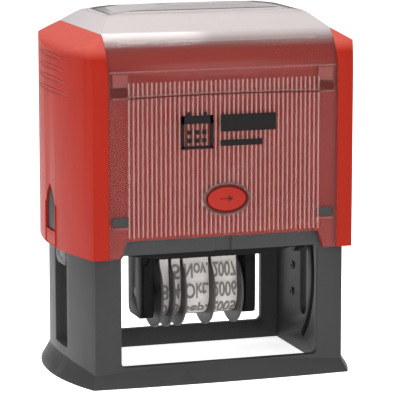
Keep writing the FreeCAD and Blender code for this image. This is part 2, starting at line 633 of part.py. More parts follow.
def make_plate_holder():
    """Tray that carries the text plate, with axle bosses and cam pins at its ends."""
    x, y = HOLDER_HALF_X, HOLDER_HALF_Y
    under = HOLDER_TOP_Z - HOLDER_PLATE
    holder = box((-x, x), (-y, y), (under, HOLDER_TOP_Z))
    for side in (-1, 1):
        face = side * y
        skirt = [(-x, face, under), (-x, face, HOLDER_END_Z),
                 (-SKIRT_FLAT_HALF, face, HOLDER_SKIRT_Z), (SKIRT_FLAT_HALF, face, HOLDER_SKIRT_Z),
                 (x, face, HOLDER_END_Z), (x, face, under)]
        holder = holder.fuse(polygon_solid(skirt, (0, -side * HOLDER_WALL, 0)))
        x_pair = sorted((side * x, side * (x - HOLDER_WALL)))
        end = box(x_pair, (-y, y), (HOLDER_END_Z, under))
        boss = rod((side * (x - 2 * HOLDER_WALL), 0, AXIS_Z), (side * x, 0, AXIS_Z), 2 * AXLE_R)
        web = box(x_pair, (-2 * AXLE_R, 2 * AXLE_R), (AXIS_Z, HOLDER_END_Z))
        pin = rod((side * x, 0, AXIS_Z + CAM_ARM), (side * (x + CAM_PIN_LENGTH), 0,
                  AXIS_Z + CAM_ARM), CAM_PIN_R)
        holder = holder.fuse([end, boss, web, pin])
    bore = rod((-x - 1, 0, AXIS_Z), (x + 1, 0, AXIS_Z), AXLE_R + SEAT)
    return holder.cut(bore).cut(holder_window()).removeSplitter()


def make_text_plate():
    """Rubber printing plate with a window for the date bands."""
    x, y = PLATE_LENGTH / 2, PLATE_WIDTH / 2
    plate = box((-x, x), (-y, y), (HOLDER_TOP_Z, PRINT_FACE_Z))
    half_window = BRIDGE_R + FIT + BAND_THICKNESS - BAND_WINDOW_INSET
    window = box((DATER_LEFT - CHEEK_GAP - SHELL_GAP, DATER_RIGHT + CHEEK_GAP + SHELL_GAP),
                 (-half_window, half_window), (HOLDER_TOP_Z - 1, PRINT_FACE_Z + 1))
    return round_edges(plate, PLATE_CORNER_R, lambda edge: runs_along(edge, 2)).cut(window)


def make_carrier_axle():
    """Steel stub axle at the right end of the plate holder."""
    return rod((HOLDER_HALF_X - 2 * HOLDER_WALL, 0, AXIS_Z), (ARM_OUTER_X, 0, AXIS_Z), AXLE_R)


def bridge_tenon(x_range, margin):
    """Square bar through the bridge and the cheeks, larger by a margin all round."""
    half = BRIDGE_TENON / 2 + margin
    return box(x_range, (-half, half), (BRIDGE_Z - half, BRIDGE_Z + half))


def make_dater_cheek(x_low):
    """Side plate of the dater, with seats for the wheel axle and the bridge."""
    x_range = (x_low, x_low + CHEEK_WIDTH)
    low = WHEEL_Z - CHEEK_FOOT
    cheek = box(x_range, (-CHEEK_HALF_Y, CHEEK_HALF_Y), (low, HOLDER_TOP_Z - SHELL_GAP))
    cheek = round_edges(cheek, CHEEK_CORNER_R, lambda edge: runs_along(edge, 0))
    seat = rod((x_low - 1, 0, WHEEL_Z), (x_low + CHEEK_WIDTH + 1, 0, WHEEL_Z),
               DATER_AXLE_R + SEAT)
    mortise = bridge_tenon((x_low - 1, x_low + CHEEK_WIDTH + 1), SEAT)
    return cheek.cut(seat).cut(mortise)


def make_band_bridge():
    """Round-topped bar that holds the bands up to the printing face."""
    bar = rod((CHEEK_LEFT + CHEEK_WIDTH, 0, BRIDGE_Z), (CHEEK_RIGHT - CHEEK_WIDTH, 0, BRIDGE_Z),
              BRIDGE_R)
    return bar.fuse(bridge_tenon((CHEEK_LEFT, CHEEK_RIGHT), 0))


def make_wheel_axle():
    """Steel axle on which the band wheels turn."""
    return rod((CHEEK_LEFT, 0, WHEEL_Z), (CHEEK_RIGHT, 0, WHEEL_Z), DATER_AXLE_R)


def thumb_disc(x_low):
    """Thin thumb disc with a rounded rim."""
    disc = rod((x_low, 0, WHEEL_Z), (x_low + THUMB_DISC_T, 0, WHEEL_Z), THUMB_DISC_R)
    return round_edges(disc, THUMB_DISC_T / 3, lambda edge: edge.BoundBox.YLength > 2)


def wheel_bore(x_low, x_high):
    """Running bore round the wheel axle."""
    return rod((x_low - 1, 0, WHEEL_Z), (x_high + 1, 0, WHEEL_Z), DATER_AXLE_R + FIT)


def make_end_disc():
    """Fixed guard disc at the dater's left end."""
    return thumb_disc(DATER_LEFT).cut(wheel_bore(DATER_LEFT, DATER_LEFT + THUMB_DISC_T))


def make_band_wheel(x_low, band_width):
    """Drum that drives one band, with its thumb disc on the right."""
    disc_x = x_low + band_width + THUMB_GAP
    drum = rod((x_low, 0, WHEEL_Z), (disc_x, 0, WHEEL_Z), DRUM_R)
    wheel = drum.fuse(thumb_disc(disc_x))
    return wheel.cut(wheel_bore(x_low, disc_x + THUMB_DISC_T)).removeSplitter()


def belt_face(x, top_r, wheel_r):
    """Outline of a belt round the bridge and a drum, as a face across X."""
    tilt = math.asin((wheel_r - top_r) / (BRIDGE_Z - WHEEL_Z))

    def touch(radius, centre_z, side):
        return Vector(x, side * radius * math.cos(tilt), centre_z + radius * math.sin(tilt))

    top = [touch(top_r, BRIDGE_Z, side) for side in (-1, 1)]
    low = [touch(wheel_r, WHEEL_Z, side) for side in (-1, 1)]
    edges = [Part.Arc(top[0], Vector(x, 0, BRIDGE_Z + top_r), top[1]).toShape(),
             Part.LineSegment(top[1], low[1]).toShape(),
             Part.Arc(low[1], Vector(x, 0, WHEEL_Z - wheel_r), low[0]).toShape(),
             Part.LineSegment(low[0], top[0]).toShape()]
    return Part.Face(Part.Wire(edges))


def make_date_band(x_low, width):
    """Rubber band with its characters, round the bridge and its drum."""
    inner = [radius + FIT for radius in (BRIDGE_R, DRUM_R)]
    outer = [radius + BAND_THICKNESS for radius in inner]
    band = belt_face(x_low, *outer).cut(belt_face(x_low, *inner))
    return band.extrude(Vector(width, 0, 0))


# --- all pieces -------------------------------------------------------------------------
def dater_pieces():
    """End disc, band wheels and bands, side by side along the wheel axle."""
    pieces = {"end_disc": make_end_disc()}
    x = DATER_LEFT + THUMB_DISC_T + THUMB_GAP
    for name, width in BANDS:
        pieces[f"date_band_{name}"] = make_date_band(x, width)
        pieces[f"band_wheel_{name}"] = make_band_wheel(x, width)
        x += width + DATER_PITCH_EXTRA
    return pieces


def all_pieces():
    """Every piece of the stamp, by node name."""
    pieces = {
        "base_frame": make_base_frame(),
        "deck_plate": make_deck_plate(),
        "ink_pad_tray": make_ink_pad_tray(),
        "ink_pad": make_ink_pad(),
        "return_spring_left": make_return_spring(-1),
        "return_spring_right": make_return_spring(1),
        "cap_core": make_cap_core(),
        "clear_hood": make_clear_hood(),
        "index_card": make_index_card(),
        "lock_button": make_lock_button(),
        "button_leaf_spring": make_button_leaf_spring(),
        "plate_holder": make_plate_holder(),
        "text_plate": make_text_plate(),
        "dater_cheek_left": make_dater_cheek(CHEEK_LEFT),
        "dater_cheek_right": make_dater_cheek(CHEEK_RIGHT - CHEEK_WIDTH),
        "band_bridge": make_band_bridge(),
        "wheel_axle": make_wheel_axle(),
    }
    pairs = {"side_shell": make_side_shell(), "slide_arm": make_slide_arm(),
             "side_catch": make_side_catch(), "carrier_axle": make_carrier_axle()}
    for name, right in pairs.items():
        pieces[f"{name}_right"] = right
        pieces[f"{name}_left"] = mirrored(right)
    pieces.update(dater_pieces())
    return pieces


os.makedirs("parts", exist_ok=True)
for node, shape in all_pieces().items():
    solids = shape.Solids
    whole = solids[0] if len(solids) == 1 else Part.makeCompound(solids)
    whole.exportStep(f"parts/{node}.step")
    print(f"{node}: {len(solids)} solid(s), {whole.Volume / 1000:.2f} cm3, valid {whole.isValid()}")
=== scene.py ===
"""Looks of a self-inking rotary date stamp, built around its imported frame.

Lengths are metres in the stamp's own frame: +X along the text plate to the right, -Y the
front, +Z up, with the paper plane at zero.
"""
import json
import logging
import math
from dataclasses import dataclass
from enum import Enum
from typing import Any, Callable, Optional, Sequence, Tuple

import bpy
from mathutils import Matrix, Vector


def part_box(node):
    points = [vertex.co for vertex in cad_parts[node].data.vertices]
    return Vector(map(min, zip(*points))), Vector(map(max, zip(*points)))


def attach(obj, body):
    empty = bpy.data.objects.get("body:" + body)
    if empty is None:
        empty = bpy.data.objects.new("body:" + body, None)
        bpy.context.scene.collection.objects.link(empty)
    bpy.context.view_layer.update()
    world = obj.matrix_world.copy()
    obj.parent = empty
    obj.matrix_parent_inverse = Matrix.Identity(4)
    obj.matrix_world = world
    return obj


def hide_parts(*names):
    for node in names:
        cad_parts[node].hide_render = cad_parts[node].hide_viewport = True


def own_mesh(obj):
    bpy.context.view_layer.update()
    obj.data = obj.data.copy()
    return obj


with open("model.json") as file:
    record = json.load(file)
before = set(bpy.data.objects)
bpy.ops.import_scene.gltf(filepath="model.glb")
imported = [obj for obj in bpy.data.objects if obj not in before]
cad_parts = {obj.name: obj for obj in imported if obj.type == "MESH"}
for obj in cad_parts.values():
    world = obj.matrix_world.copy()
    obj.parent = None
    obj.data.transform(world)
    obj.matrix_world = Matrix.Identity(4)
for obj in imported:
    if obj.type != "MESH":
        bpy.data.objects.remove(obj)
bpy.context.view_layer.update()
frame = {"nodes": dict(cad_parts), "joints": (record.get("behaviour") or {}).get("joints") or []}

log = logging.getLogger("date_stamp")

MM = 0.001
Colour = Tuple[float, float, float]
Point = Tuple[float, float, float]
SIDES = (-1, 1)


def shaded(colour: Colour, share: float) -> Colour:
    """A colour darkened to a share of itself."""
    return tuple(share * part for part in colour)


class Body(Enum):
    """The moving groups that pieces ride on."""

    BASE = "base"
    CAP = "cap"
    BUTTON = "lock_button"
    CATCH_LEFT = "side_catch_left"
    CATCH_RIGHT = "side_catch_right"
    CARRIER = "carrier"


class Slot(Enum):
    """The record's material slots, listed with new pieces."""

    FRAME = "frame_grey"
    CARRIER = "carrier_black"
    BAND = "band_rubber"
    PLATE = "plate_rubber"
    FELT = "pad_felt"
    SPRING = "spring_steel"
    CLEAR = "clear_plastic"
    BUTTON = "button_red"
    SHELL = "shell_red"


# --- shader graphs ---
class Signal:
    """A shader socket that takes part in Python arithmetic."""

    def __init__(self, graph: "Graph", socket: bpy.types.NodeSocket) -> None:
        """Wraps one output socket of a graph."""
        self.graph = graph
        self.socket = socket

    def _math(self, operation: str, first: Any, second: Any = 0.0) -> "Signal":
        """Adds one Math node and gives its result."""
        node = self.graph.node("ShaderNodeMath", {"operation": operation}, {0: first, 1: second})
        return Signal(self.graph, node.outputs[0])

    def __add__(self, other: Any) -> "Signal":
        """Sum."""
        return self._math("ADD", self, other)

    __radd__ = __add__

    def __sub__(self, other: Any) -> "Signal":
        """Difference."""
        return self._math("SUBTRACT", self, other)

    def __rsub__(self, other: Any) -> "Signal":
        """Reflected difference, as in 1 - mask."""
        return self._math("SUBTRACT", other, self)

    def __mul__(self, other: Any) -> "Signal":
        """Product."""
        return self._math("MULTIPLY", self, other)

    __rmul__ = __mul__

    def __pow__(self, other: Any) -> "Signal":
        """Power."""
        return self._math("POWER", self, other)


class Graph:
    """One material's node tree."""

    def __init__(self, name: str) -> None:
        """Makes an empty material with a Principled shader and an output."""
        self.material = bpy.data.materials.new(name)
        self.material.use_nodes = True
        self.tree = self.material.node_tree
        self.tree.nodes.clear()
        self.shader = self.node("ShaderNodeBsdfPrincipled", {}, {})
        self.output = self.node("ShaderNodeOutputMaterial", {}, {})
        self.tree.links.new(self.shader.outputs[0], self.output.inputs["Surface"])
        self.place = self.signal("ShaderNodeTexCoord", {}, {}, "Object")

    def node(self, kind: str, settings: dict, inputs: dict) -> bpy.types.Node:
        """Adds one node.

        Args:
            kind: the node's type.
            settings: the node's properties, set before its sockets.
            inputs: values or signals by socket name or number.

        Returns:
            The new node.
        """
        node = self.tree.nodes.new(kind)
        for key, value in settings.items():
            setattr(node, key, value)
        for key, value in inputs.items():
            if isinstance(value, Signal):
                self.tree.links.new(value.socket, node.inputs[key])
            else:
                node.inputs[key].default_value = value
        return node

    def signal(self, kind: str, settings: dict, inputs: dict, output: Any = 0) -> Signal:
        """Adds one node and wraps one of its outputs."""
        return Signal(self, self.node(kind, settings, inputs).outputs[output])

    def noise(self, size: float, detail: float = 3.0, stretch: Optional[Point] = None) -> Signal:
        """Noise whose grains are about one size across, in metres.

        Args:
            size: grain size.
            detail: octaves.
            stretch: scale factors along X, Y and Z, for drawn or brushed marks.

        Returns:
            A value round one half.
        """
        place = self.place
        if stretch:
            place = self.signal("ShaderNodeMapping", {"vector_type": "POINT"},
                                {"Vector": place, "Scale": stretch})
        return self.signal("ShaderNodeTexNoise", {"noise_dimensions": "3D"},
                           {"Vector": place, "Scale": 1.0 / size, "Detail": detail}, "Fac")

    def mix(self, share: Any, first: Any, second: Any) -> Signal:
        """Mixes two colours, or colour signals, by a share."""
        first, second = (part if isinstance(part, Signal) else (*part, 1.0)
                         for part in (first, second))
        return self.signal("ShaderNodeMix", {"data_type": "RGBA"},
                           {0: share, 6: first, 7: second}, 2)

    def climb(self, low: float, high: float) -> Signal:
        """A soft step from zero to one between two heights, in metres."""
        height = self.signal("ShaderNodeSeparateXYZ", {}, {0: self.place}, "Z")
        return self.signal("ShaderNodeMapRange", {"interpolation_type": "SMOOTHSTEP"},
                           {"Value": height, "From Min": low, "From Max": high}, 0)

    def feed(self, **inputs: Any) -> None:
        """Sets Principled sockets; an underscore in a name stands for a space."""
        for key, value in inputs.items():
            socket = self.shader.inputs[key.replace("_", " ")]
            if isinstance(value, Signal):
                self.tree.links.new(value.socket, socket)
            else:
                socket.default_value = value

    def bump(self, height: Signal, depth: float, strength: float = 1.0) -> None:
        """Feeds Normal with a bump of a depth in metres."""
        self.feed(Normal=self.signal("ShaderNodeBump", {},
                                     {"Height": height, "Distance": depth,
                                      "Strength": strength}))


# --- finishes ---
@dataclass(frozen=True)
class MouldedPlastic:
    """Moulded plastic with a fine eroded grain, slight rubs and, if given, a top painted paler as
    light from above.
    """

    name: str
    colour: Colour
    shade: Colour
    roughness: float = 0.38
    spread: float = 0.12
    grain: float = 0.35 * MM
    depth: float = 0.012 * MM
    specular: float = 0.5
    painted_top_light: Optional[Colour] = None
    painted_top_light_low: float = 104.5 * MM
    painted_top_light_high: float = 108.5 * MM

    def material(self) -> bpy.types.Material:
        """Builds the node material."""
        graph = Graph(self.name)
        clouds = graph.noise(14 * MM, 4.0)
        grain = graph.noise(self.grain, 2.0)
        rubs = graph.noise(3 * MM, 5.0, (1.0, 1.0, 0.25))
        body = graph.mix(clouds * 0.8 + grain * 0.2, self.shade, self.colour)
        # Painted top light: the colour turns paler above a height, as if lit from above.
        if self.painted_top_light:
            body = graph.mix(graph.climb(self.painted_top_light_low, self.painted_top_light_high), body, self.painted_top_light)
        graph.feed(Base_Color=body, Specular_IOR_Level=self.specular,
                   Roughness=rubs * self.spread + grain * 0.06 + (self.roughness - 0.09))
        graph.bump(grain + rubs * 0.4, self.depth, 0.6)
        return graph.material


@dataclass(frozen=True)
class ClearPlastic:
    """Clear moulded plastic, seen through in part, with faint rubs and a painted whitish sheen on
    its top.
    """

    name: str
    tint: Colour
    cover: float
    roughness: float = 0.14
    painted_sheen: Colour = (0.4, 0.36, 0.36)
    painted_sheen_low: float = 106.8 * MM
    painted_sheen_high: float = 112.6 * MM
    painted_sheen_cover: float = 0.66

    def material(self) -> bpy.types.Material:
        """Builds the node material."""
        graph = Graph(self.name)
        rubs = graph.noise(2.5 * MM, 5.0, (1.0, 1.0, 0.3))
        edge = graph.signal("ShaderNodeLayerWeight", {}, {"Blend": 0.28}, "Facing")
        # Painted sheen: above a height the plastic turns whiter and less clear, in place of
        # reflected light.
        painted_top_light = graph.climb(self.painted_sheen_low, self.painted_sheen_high)
        body = graph.mix(rubs, self.tint, shaded(self.tint, 0.93))
        graph.feed(Base_Color=graph.mix(painted_top_light, body, self.painted_sheen),
                   Roughness=rubs * 0.1 + (self.roughness - 0.04),
                   Alpha=(edge * (1 - self.cover) * 0.6 + rubs * 0.05
                          + painted_top_light * self.painted_sheen_cover + (self.cover - 0.02)),
                   Coat_Weight=0.22, Coat_Roughness=0.12)
        graph.bump(rubs, 0.01 * MM, 0.4)
        return graph.material


@dataclass(frozen=True)
class Rubber:
    """Moulded rubber with a dusty, slightly mottled face."""

    name: str
    colour: Colour
    stain: Colour
    roughness: float = 0.72

    def material(self) -> bpy.types.Material:
        """Builds the node material."""
        graph = Graph(self.name)
        blot = graph.noise(1.6 * MM, 4.0)
        dust = graph.noise(0.22 * MM, 2.0)
        graph.feed(Base_Color=graph.mix((blot ** 2.2) * 1.4 + dust * 0.15, self.colour, self.stain),
                   Roughness=dust * 0.15 + (self.roughness - 0.08),
                   Specular_IOR_Level=0.35)
        graph.bump(dust + blot * 0.5, 0.03 * MM, 0.6)
        return graph.material


@dataclass(frozen=True)
class InkFelt:
    """Ink-soaked felt: short matted fibres, darker where it is wet."""

    name: str
    dry: Colour
    wet: Colour

    def material(self) -> bpy.types.Material:
        """Builds the node material."""
        graph = Graph(self.name)
        soak = graph.noise(9 * MM, 3.0)
        fibres = graph.noise(0.3 * MM, 4.0, (1.0, 0.35, 1.0))
        graph.feed(Base_Color=graph.mix(soak, self.dry, self.wet),
                   Roughness=1 - soak * 0.5, Sheen_Weight=0.3)
        graph.bump(fibres, 0.15 * MM, 0.9)
        return graph.material


@dataclass(frozen=True)
class DrawnSteel:
    """Drawn or ground steel with marks along one direction."""

    name: str
    colour: Colour
    stretch: Point
    roughness: float = 0.28

    def material(self) -> bpy.types.Material:
        """Builds the node material."""
        graph = Graph(self.name)
        marks = graph.noise(0.25 * MM, 3.0, self.stretch)
        graph.feed(Base_Color=graph.mix(marks, self.colour, shaded(self.colour, 0.8)),
                   Metallic=1.0, Roughness=marks * 0.2 + (self.roughness - 0.1))
        graph.bump(marks, 0.008 * MM, 0.5)
        return graph.material


@dataclass(frozen=True)
class Card:
    """Printed white card with a faint fibre."""

    name: str
    colour: Colour

    def material(self) -> bpy.types.Material:
        """Builds the node material."""
        graph = Graph(self.name)
        fibre = graph.noise(0.4 * MM, 4.0, (1.0, 0.4, 1.0))
        graph.feed(Base_Color=graph.mix(fibre, self.colour, shaded(self.colour, 0.92)),
                   Roughness=fibre * 0.2 + 0.5)
        graph.bump(fibre, 0.02 * MM, 0.5)
        return graph.material


@dataclass(frozen=True)
class PaleFloor:
    """Plain pale studio floor."""

    name: str
    colour: Colour
    glow: float = 0.8

    def material(self) -> bpy.types.Material:
        """Builds the node material."""
        graph = Graph(self.name)
        graph.feed(Base_Color=(*self.colour, 1.0), Roughness=0.6, Specular_IOR_Level=0.2,
                   Emission_Color=(1.0, 1.0, 1.0, 1.0), Emission_Strength=self.glow)
        return graph.material


class Finishes:
    """Every finish of the stamp, made once."""

    def __init__(self) -> None:
        """Builds the materials by name."""
        kinds = (
            # The shell's paler coral top is painted light from above.
            MouldedPlastic("shell_red_gloss", (0.275, 0.0125, 0.005), (0.24, 0.011, 0.0045),
                           roughness=0.44, specular=0.07, painted_top_light=(0.38, 0.06, 0.045)),
            MouldedPlastic("core_red", (0.26, 0.011, 0.006), (0.22, 0.009, 0.005),
                           roughness=0.55, specular=0.2),
            MouldedPlastic("core_shadow", (0.075, 0.012, 0.01), (0.06, 0.01, 0.009),
                           roughness=0.6, specular=0.1),
            MouldedPlastic("button_red_gloss", (0.29, 0.013, 0.006), (0.25, 0.011, 0.005),
                           roughness=0.34, specular=0.14),
            MouldedPlastic("frame_grey_satin", (0.027, 0.0268, 0.028), (0.022, 0.0218, 0.023),
                           roughness=0.5, specular=0.26),
            MouldedPlastic("carrier_black_satin", (0.0085, 0.0082, 0.0082), (0.006, 0.0058, 0.0058),
                           roughness=0.5, specular=0.07),
            MouldedPlastic("catch_grey", (0.017, 0.0165, 0.0165), (0.013, 0.0125, 0.0125),
                           roughness=0.5, specular=0.12),
            MouldedPlastic("wheel_grey", (0.07, 0.065, 0.065), (0.05, 0.046, 0.046),
                           roughness=0.5, specular=0.3),
            ClearPlastic("hood_clear", (0.185, 0.068, 0.058), 0.1),
            ClearPlastic("rib_clear", (0.64, 0.36, 0.33), 0.28, roughness=0.25),
            ClearPlastic("pad_clear", (0.32, 0.165, 0.152), 0.12, roughness=0.25),
            # Whitish and fairly opaque: painted highlight for the window rim.
            ClearPlastic("edge_clear", (0.62, 0.6, 0.6), 0.62, roughness=0.2),
            Rubber("band_off_white", (0.66, 0.62, 0.6), (0.5, 0.46, 0.44)),
            Rubber("character_rubber", (0.24, 0.22, 0.21), (0.1, 0.09, 0.085)),
            Rubber("plate_red_rubber", (0.36, 0.07, 0.055), (0.2, 0.035, 0.03)),
            InkFelt("ink_felt", (0.035, 0.035, 0.06), (0.01, 0.01, 0.02)),
            DrawnSteel("spring_wire", (0.62, 0.61, 0.6), (1.0, 1.0, 0.3)),
            DrawnSteel("axle_blackened", (0.06, 0.06, 0.062), (0.1, 1.0, 1.0), roughness=0.45),
            Card("index_white", (0.7, 0.66, 0.66)),
            MouldedPlastic("print_ink", (0.008, 0.007, 0.007), (0.012, 0.011, 0.011),
                           roughness=0.6, specular=0.08),
            PaleFloor("floor_white", (0.93, 0.93, 0.93)),
        )
        self.made = {kind.name: kind.material() for kind in kinds}

    def __getitem__(self, name: str) -> bpy.types.Material:
        """The material of one finish."""
        return self.made[name]


# --- modelling bench ---
class Bench:
    """Edit-mode modelling steps that every sub-assembly uses."""

    def __init__(self, finishes: Finishes) -> None:
        """Keeps the finishes at hand."""
        self.finishes = finishes

    @staticmethod
    def pick(*pieces: bpy.types.Object) -> None:
        """Selects these pieces only, the first one active."""
        bpy.ops.object.select_all(action="DESELECT")
        for piece in pieces:
            piece.select_set(True)
        bpy.context.view_layer.objects.active = pieces[0]

    def edit(self, piece: bpy.types.Object, steps: Callable[[], Any], mode: str = "FACE",
             choose: Optional[Callable[[Any], bool]] = None) -> None:
        """Runs edit-mode steps on chosen faces, edges or vertices, or on everything.

        Args:
            piece: the mesh to edit.
            steps: operators to run in edit mode.
            mode: FACE, EDGE or VERT, what choose is asked about.
            choose: picks elements by their place or normal; all are picked without it.
        """
        self.pick(piece)
        bpy.ops.object.mode_set(mode="EDIT")
        bpy.ops.mesh.select_mode(type=mode)
        bpy.ops.mesh.select_all(action="DESELECT" if choose else "SELECT")
        if choose:
            bpy.ops.object.mode_set(mode="OBJECT")
            mesh = piece.data
            items = {"FACE": mesh.polygons, "EDGE": mesh.edges, "VERT": mesh.vertices}[mode]
            for item in items:
                item.select = bool(choose(item))
            bpy.ops.object.mode_set(mode="EDIT")
        steps()
        bpy.ops.object.mode_set(mode="OBJECT")

    def block(self, name: str, low: Point, high: Point) -> bpy.types.Object:
        """A box between two corners."""
        centre = [(a + b) / 2 for a, b in zip(low, high)]
        size = [b - a for a, b in zip(low, high)]
        bpy.ops.object.select_all(action="DESELECT")
        bpy.ops.mesh.primitive_cube_add(size=1, location=centre)
        piece = bpy.context.object
        piece.scale = size
        bpy.ops.object.transform_apply(location=True, rotation=True, scale=True)
        piece.name = piece.data.name = name
        return piece

    def rod(self, name: str, start: Point, end: Point, radius: float,
            sides: int = 32) -> bpy.types.Object:
        """A round bar between two points."""
        axis = Vector(end) - Vector(start)
        bpy.ops.object.select_all(action="DESELECT")
        bpy.ops.mesh.primitive_cylinder_add(
            vertices=sides, radius=radius, depth=axis.length,
            location=(Vector(start) + Vector(end)) / 2,
            rotation=axis.to_track_quat("Z", "Y").to_euler())
        piece = bpy.context.object
        bpy.ops.object.transform_apply(location=True, rotation=True, scale=True)
        piece.name = piece.data.name = name
        return piece

    def ring(self, name: str, points: Sequence[Point]) -> bpy.types.Object:
        """A closed line of edges through points, in order."""
        bpy.ops.object.select_all(action="DESELECT")
        bpy.ops.mesh.primitive_circle_add(vertices=len(points))
        piece = bpy.context.object
        piece.name = piece.data.name = name
        for vertex, point in zip(piece.data.vertices, points):
            vertex.co = point
        return piece

    def outline(self, name: str, points: Sequence[Point], push: Point) -> bpy.types.Object:
        """A closed flat outline pushed into a solid.

        Args:
            name: the piece's name.
            points: corners of the outline, in order.
            push: direction and length of the push.

        Returns:
            The solid piece.
        """
        piece = self.ring(name, points)

        def fill_and_push() -> None:
            bpy.ops.mesh.edge_face_add()
            bpy.ops.mesh.extrude_region_move(TRANSFORM_OT_translate={"value": push})
            bpy.ops.mesh.select_all(action="SELECT")
            bpy.ops.mesh.normals_make_consistent(inside=False)

        self.edit(piece, fill_and_push, "EDGE")
        return piece

    def modify(self, piece: bpy.types.Object, kind: str, **settings: Any) -> bpy.types.Object:
        """Adds one modifier with its settings and applies it."""
        self.pick(piece)
        modifier = piece.modifiers.new(kind.lower(), kind)
        for key, value in settings.items():
            setattr(modifier, key, value)
        bpy.ops.object.modifier_apply(modifier=modifier.name)
        return piece

    def round_off(self, piece: bpy.types.Object, width: float, segments: int = 2,
                  angle: float = 30.0) -> bpy.types.Object:
        """Rounds every edge sharper than an angle in degrees."""
        self.modify(piece, "BEVEL", width=width, segments=segments, limit_method="ANGLE",
                    angle_limit=math.radians(angle), harden_normals=False,
                    use_clamp_overlap=True)
        return self.smooth(piece)

    def smooth(self, piece: bpy.types.Object, angle: float = 35.0) -> bpy.types.Object:
        """Shades faces smooth up to an angle in degrees."""
        self.pick(piece)
        bpy.ops.object.shade_smooth_by_angle(angle=math.radians(angle))
        return piece

    def join(self, name: str, pieces: Sequence[bpy.types.Object]) -> bpy.types.Object:
        """Joins pieces into the first one."""
        self.pick(*pieces)
        if len(pieces) > 1:
            bpy.ops.object.join()
        piece = bpy.context.view_layer.objects.active
        piece.name = piece.data.name = name
        return piece

    def copy(self, piece: bpy.types.Object, shift: Point = (0, 0, 0)) -> bpy.types.Object:
        """A moved copy with its own mesh."""
        twin = bpy.data.objects.new(piece.name, piece.data.copy())
        bpy.context.scene.collection.objects.link(twin)
        twin.data.transform(Matrix.Translation(shift))
        return twin

    def mirror(self, piece: bpy.types.Object, name: str, axis: int = 0) -> bpy.types.Object:
        """A mirrored copy across X (0) or Y (1), with its faces turned outwards again."""
        twin = self.copy(piece)
        twin.name = twin.data.name = name
        for vertex in twin.data.vertices:
            vertex.co[axis] *= -1
        self.edit(twin, bpy.ops.mesh.flip_normals)
        return twin

    def cut(self, piece: bpy.types.Object, tool: bpy.types.Object) -> bpy.types.Object:
        """Cuts a tool's shape out of a piece and removes the tool."""
        self.modify(piece, "BOOLEAN", object=tool, operation="DIFFERENCE", solver="EXACT")
        bpy.data.objects.remove(tool)
        return piece

    def from_node(self, name: str, node: str) -> bpy.types.Object:
        """A merged copy of a frame node, with flat areas joined up."""
        mesh = frame["nodes"][node].data.copy()
        mesh.materials.clear()
        mesh.name = name
        piece = bpy.data.objects.new(name, mesh)
        bpy.context.scene.collection.objects.link(piece)

        def merge() -> None:
            bpy.ops.mesh.remove_doubles(threshold=1e-6)
            bpy.ops.mesh.dissolve_limited(angle_limit=math.radians(0.4))

        self.edit(piece, merge, "VERT")
        return piece

    def dress(self, piece: bpy.types.Object, body: Body, slot: Slot, finish: str,
              *nodes: str) -> bpy.types.Object:
        """Gives a piece its finish and body, and hides the frame nodes it stands for.

        Args:
            piece: the finished mesh.
            body: the group it moves with.
            slot: the record's material slot; not used.
            finish: the name of its finish.
            nodes: frame nodes that it replaces.

        Returns:
            The piece.
        """
        piece.data.materials.clear()
        piece.data.materials.append(self.finishes[finish])
        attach(piece, body.value)
        if nodes:
            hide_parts(*nodes)
        log.info("%s: %d faces, rides on %s", piece.name, len(piece.data.polygons), body.value)
        return piece

    def carry(self, name: str, node: str, body: Body, slot: Slot, finish: str,
              edge: float, segments: int = 2) -> bpy.types.Object:
        """Puts a dressed copy of a frame node, with its edges rounded, in its place."""
        piece = self.round_off(self.from_node(name, node), edge, segments)
        return self.dress(piece, body, slot, finish, node)

    def dress_node(self, node: str, finish: str) -> None:
        """Gives a frame node that is shown as it is a better finish."""
        data = frame["nodes"][node].data
        data.materials.clear()
        data.materials.append(self.finishes[finish])
        log.info("%s keeps its frame shape", node)


def middle(node: str) -> Vector:
    """Centre of a frame node's box."""
    low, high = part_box(node)
    return (low + high) / 2


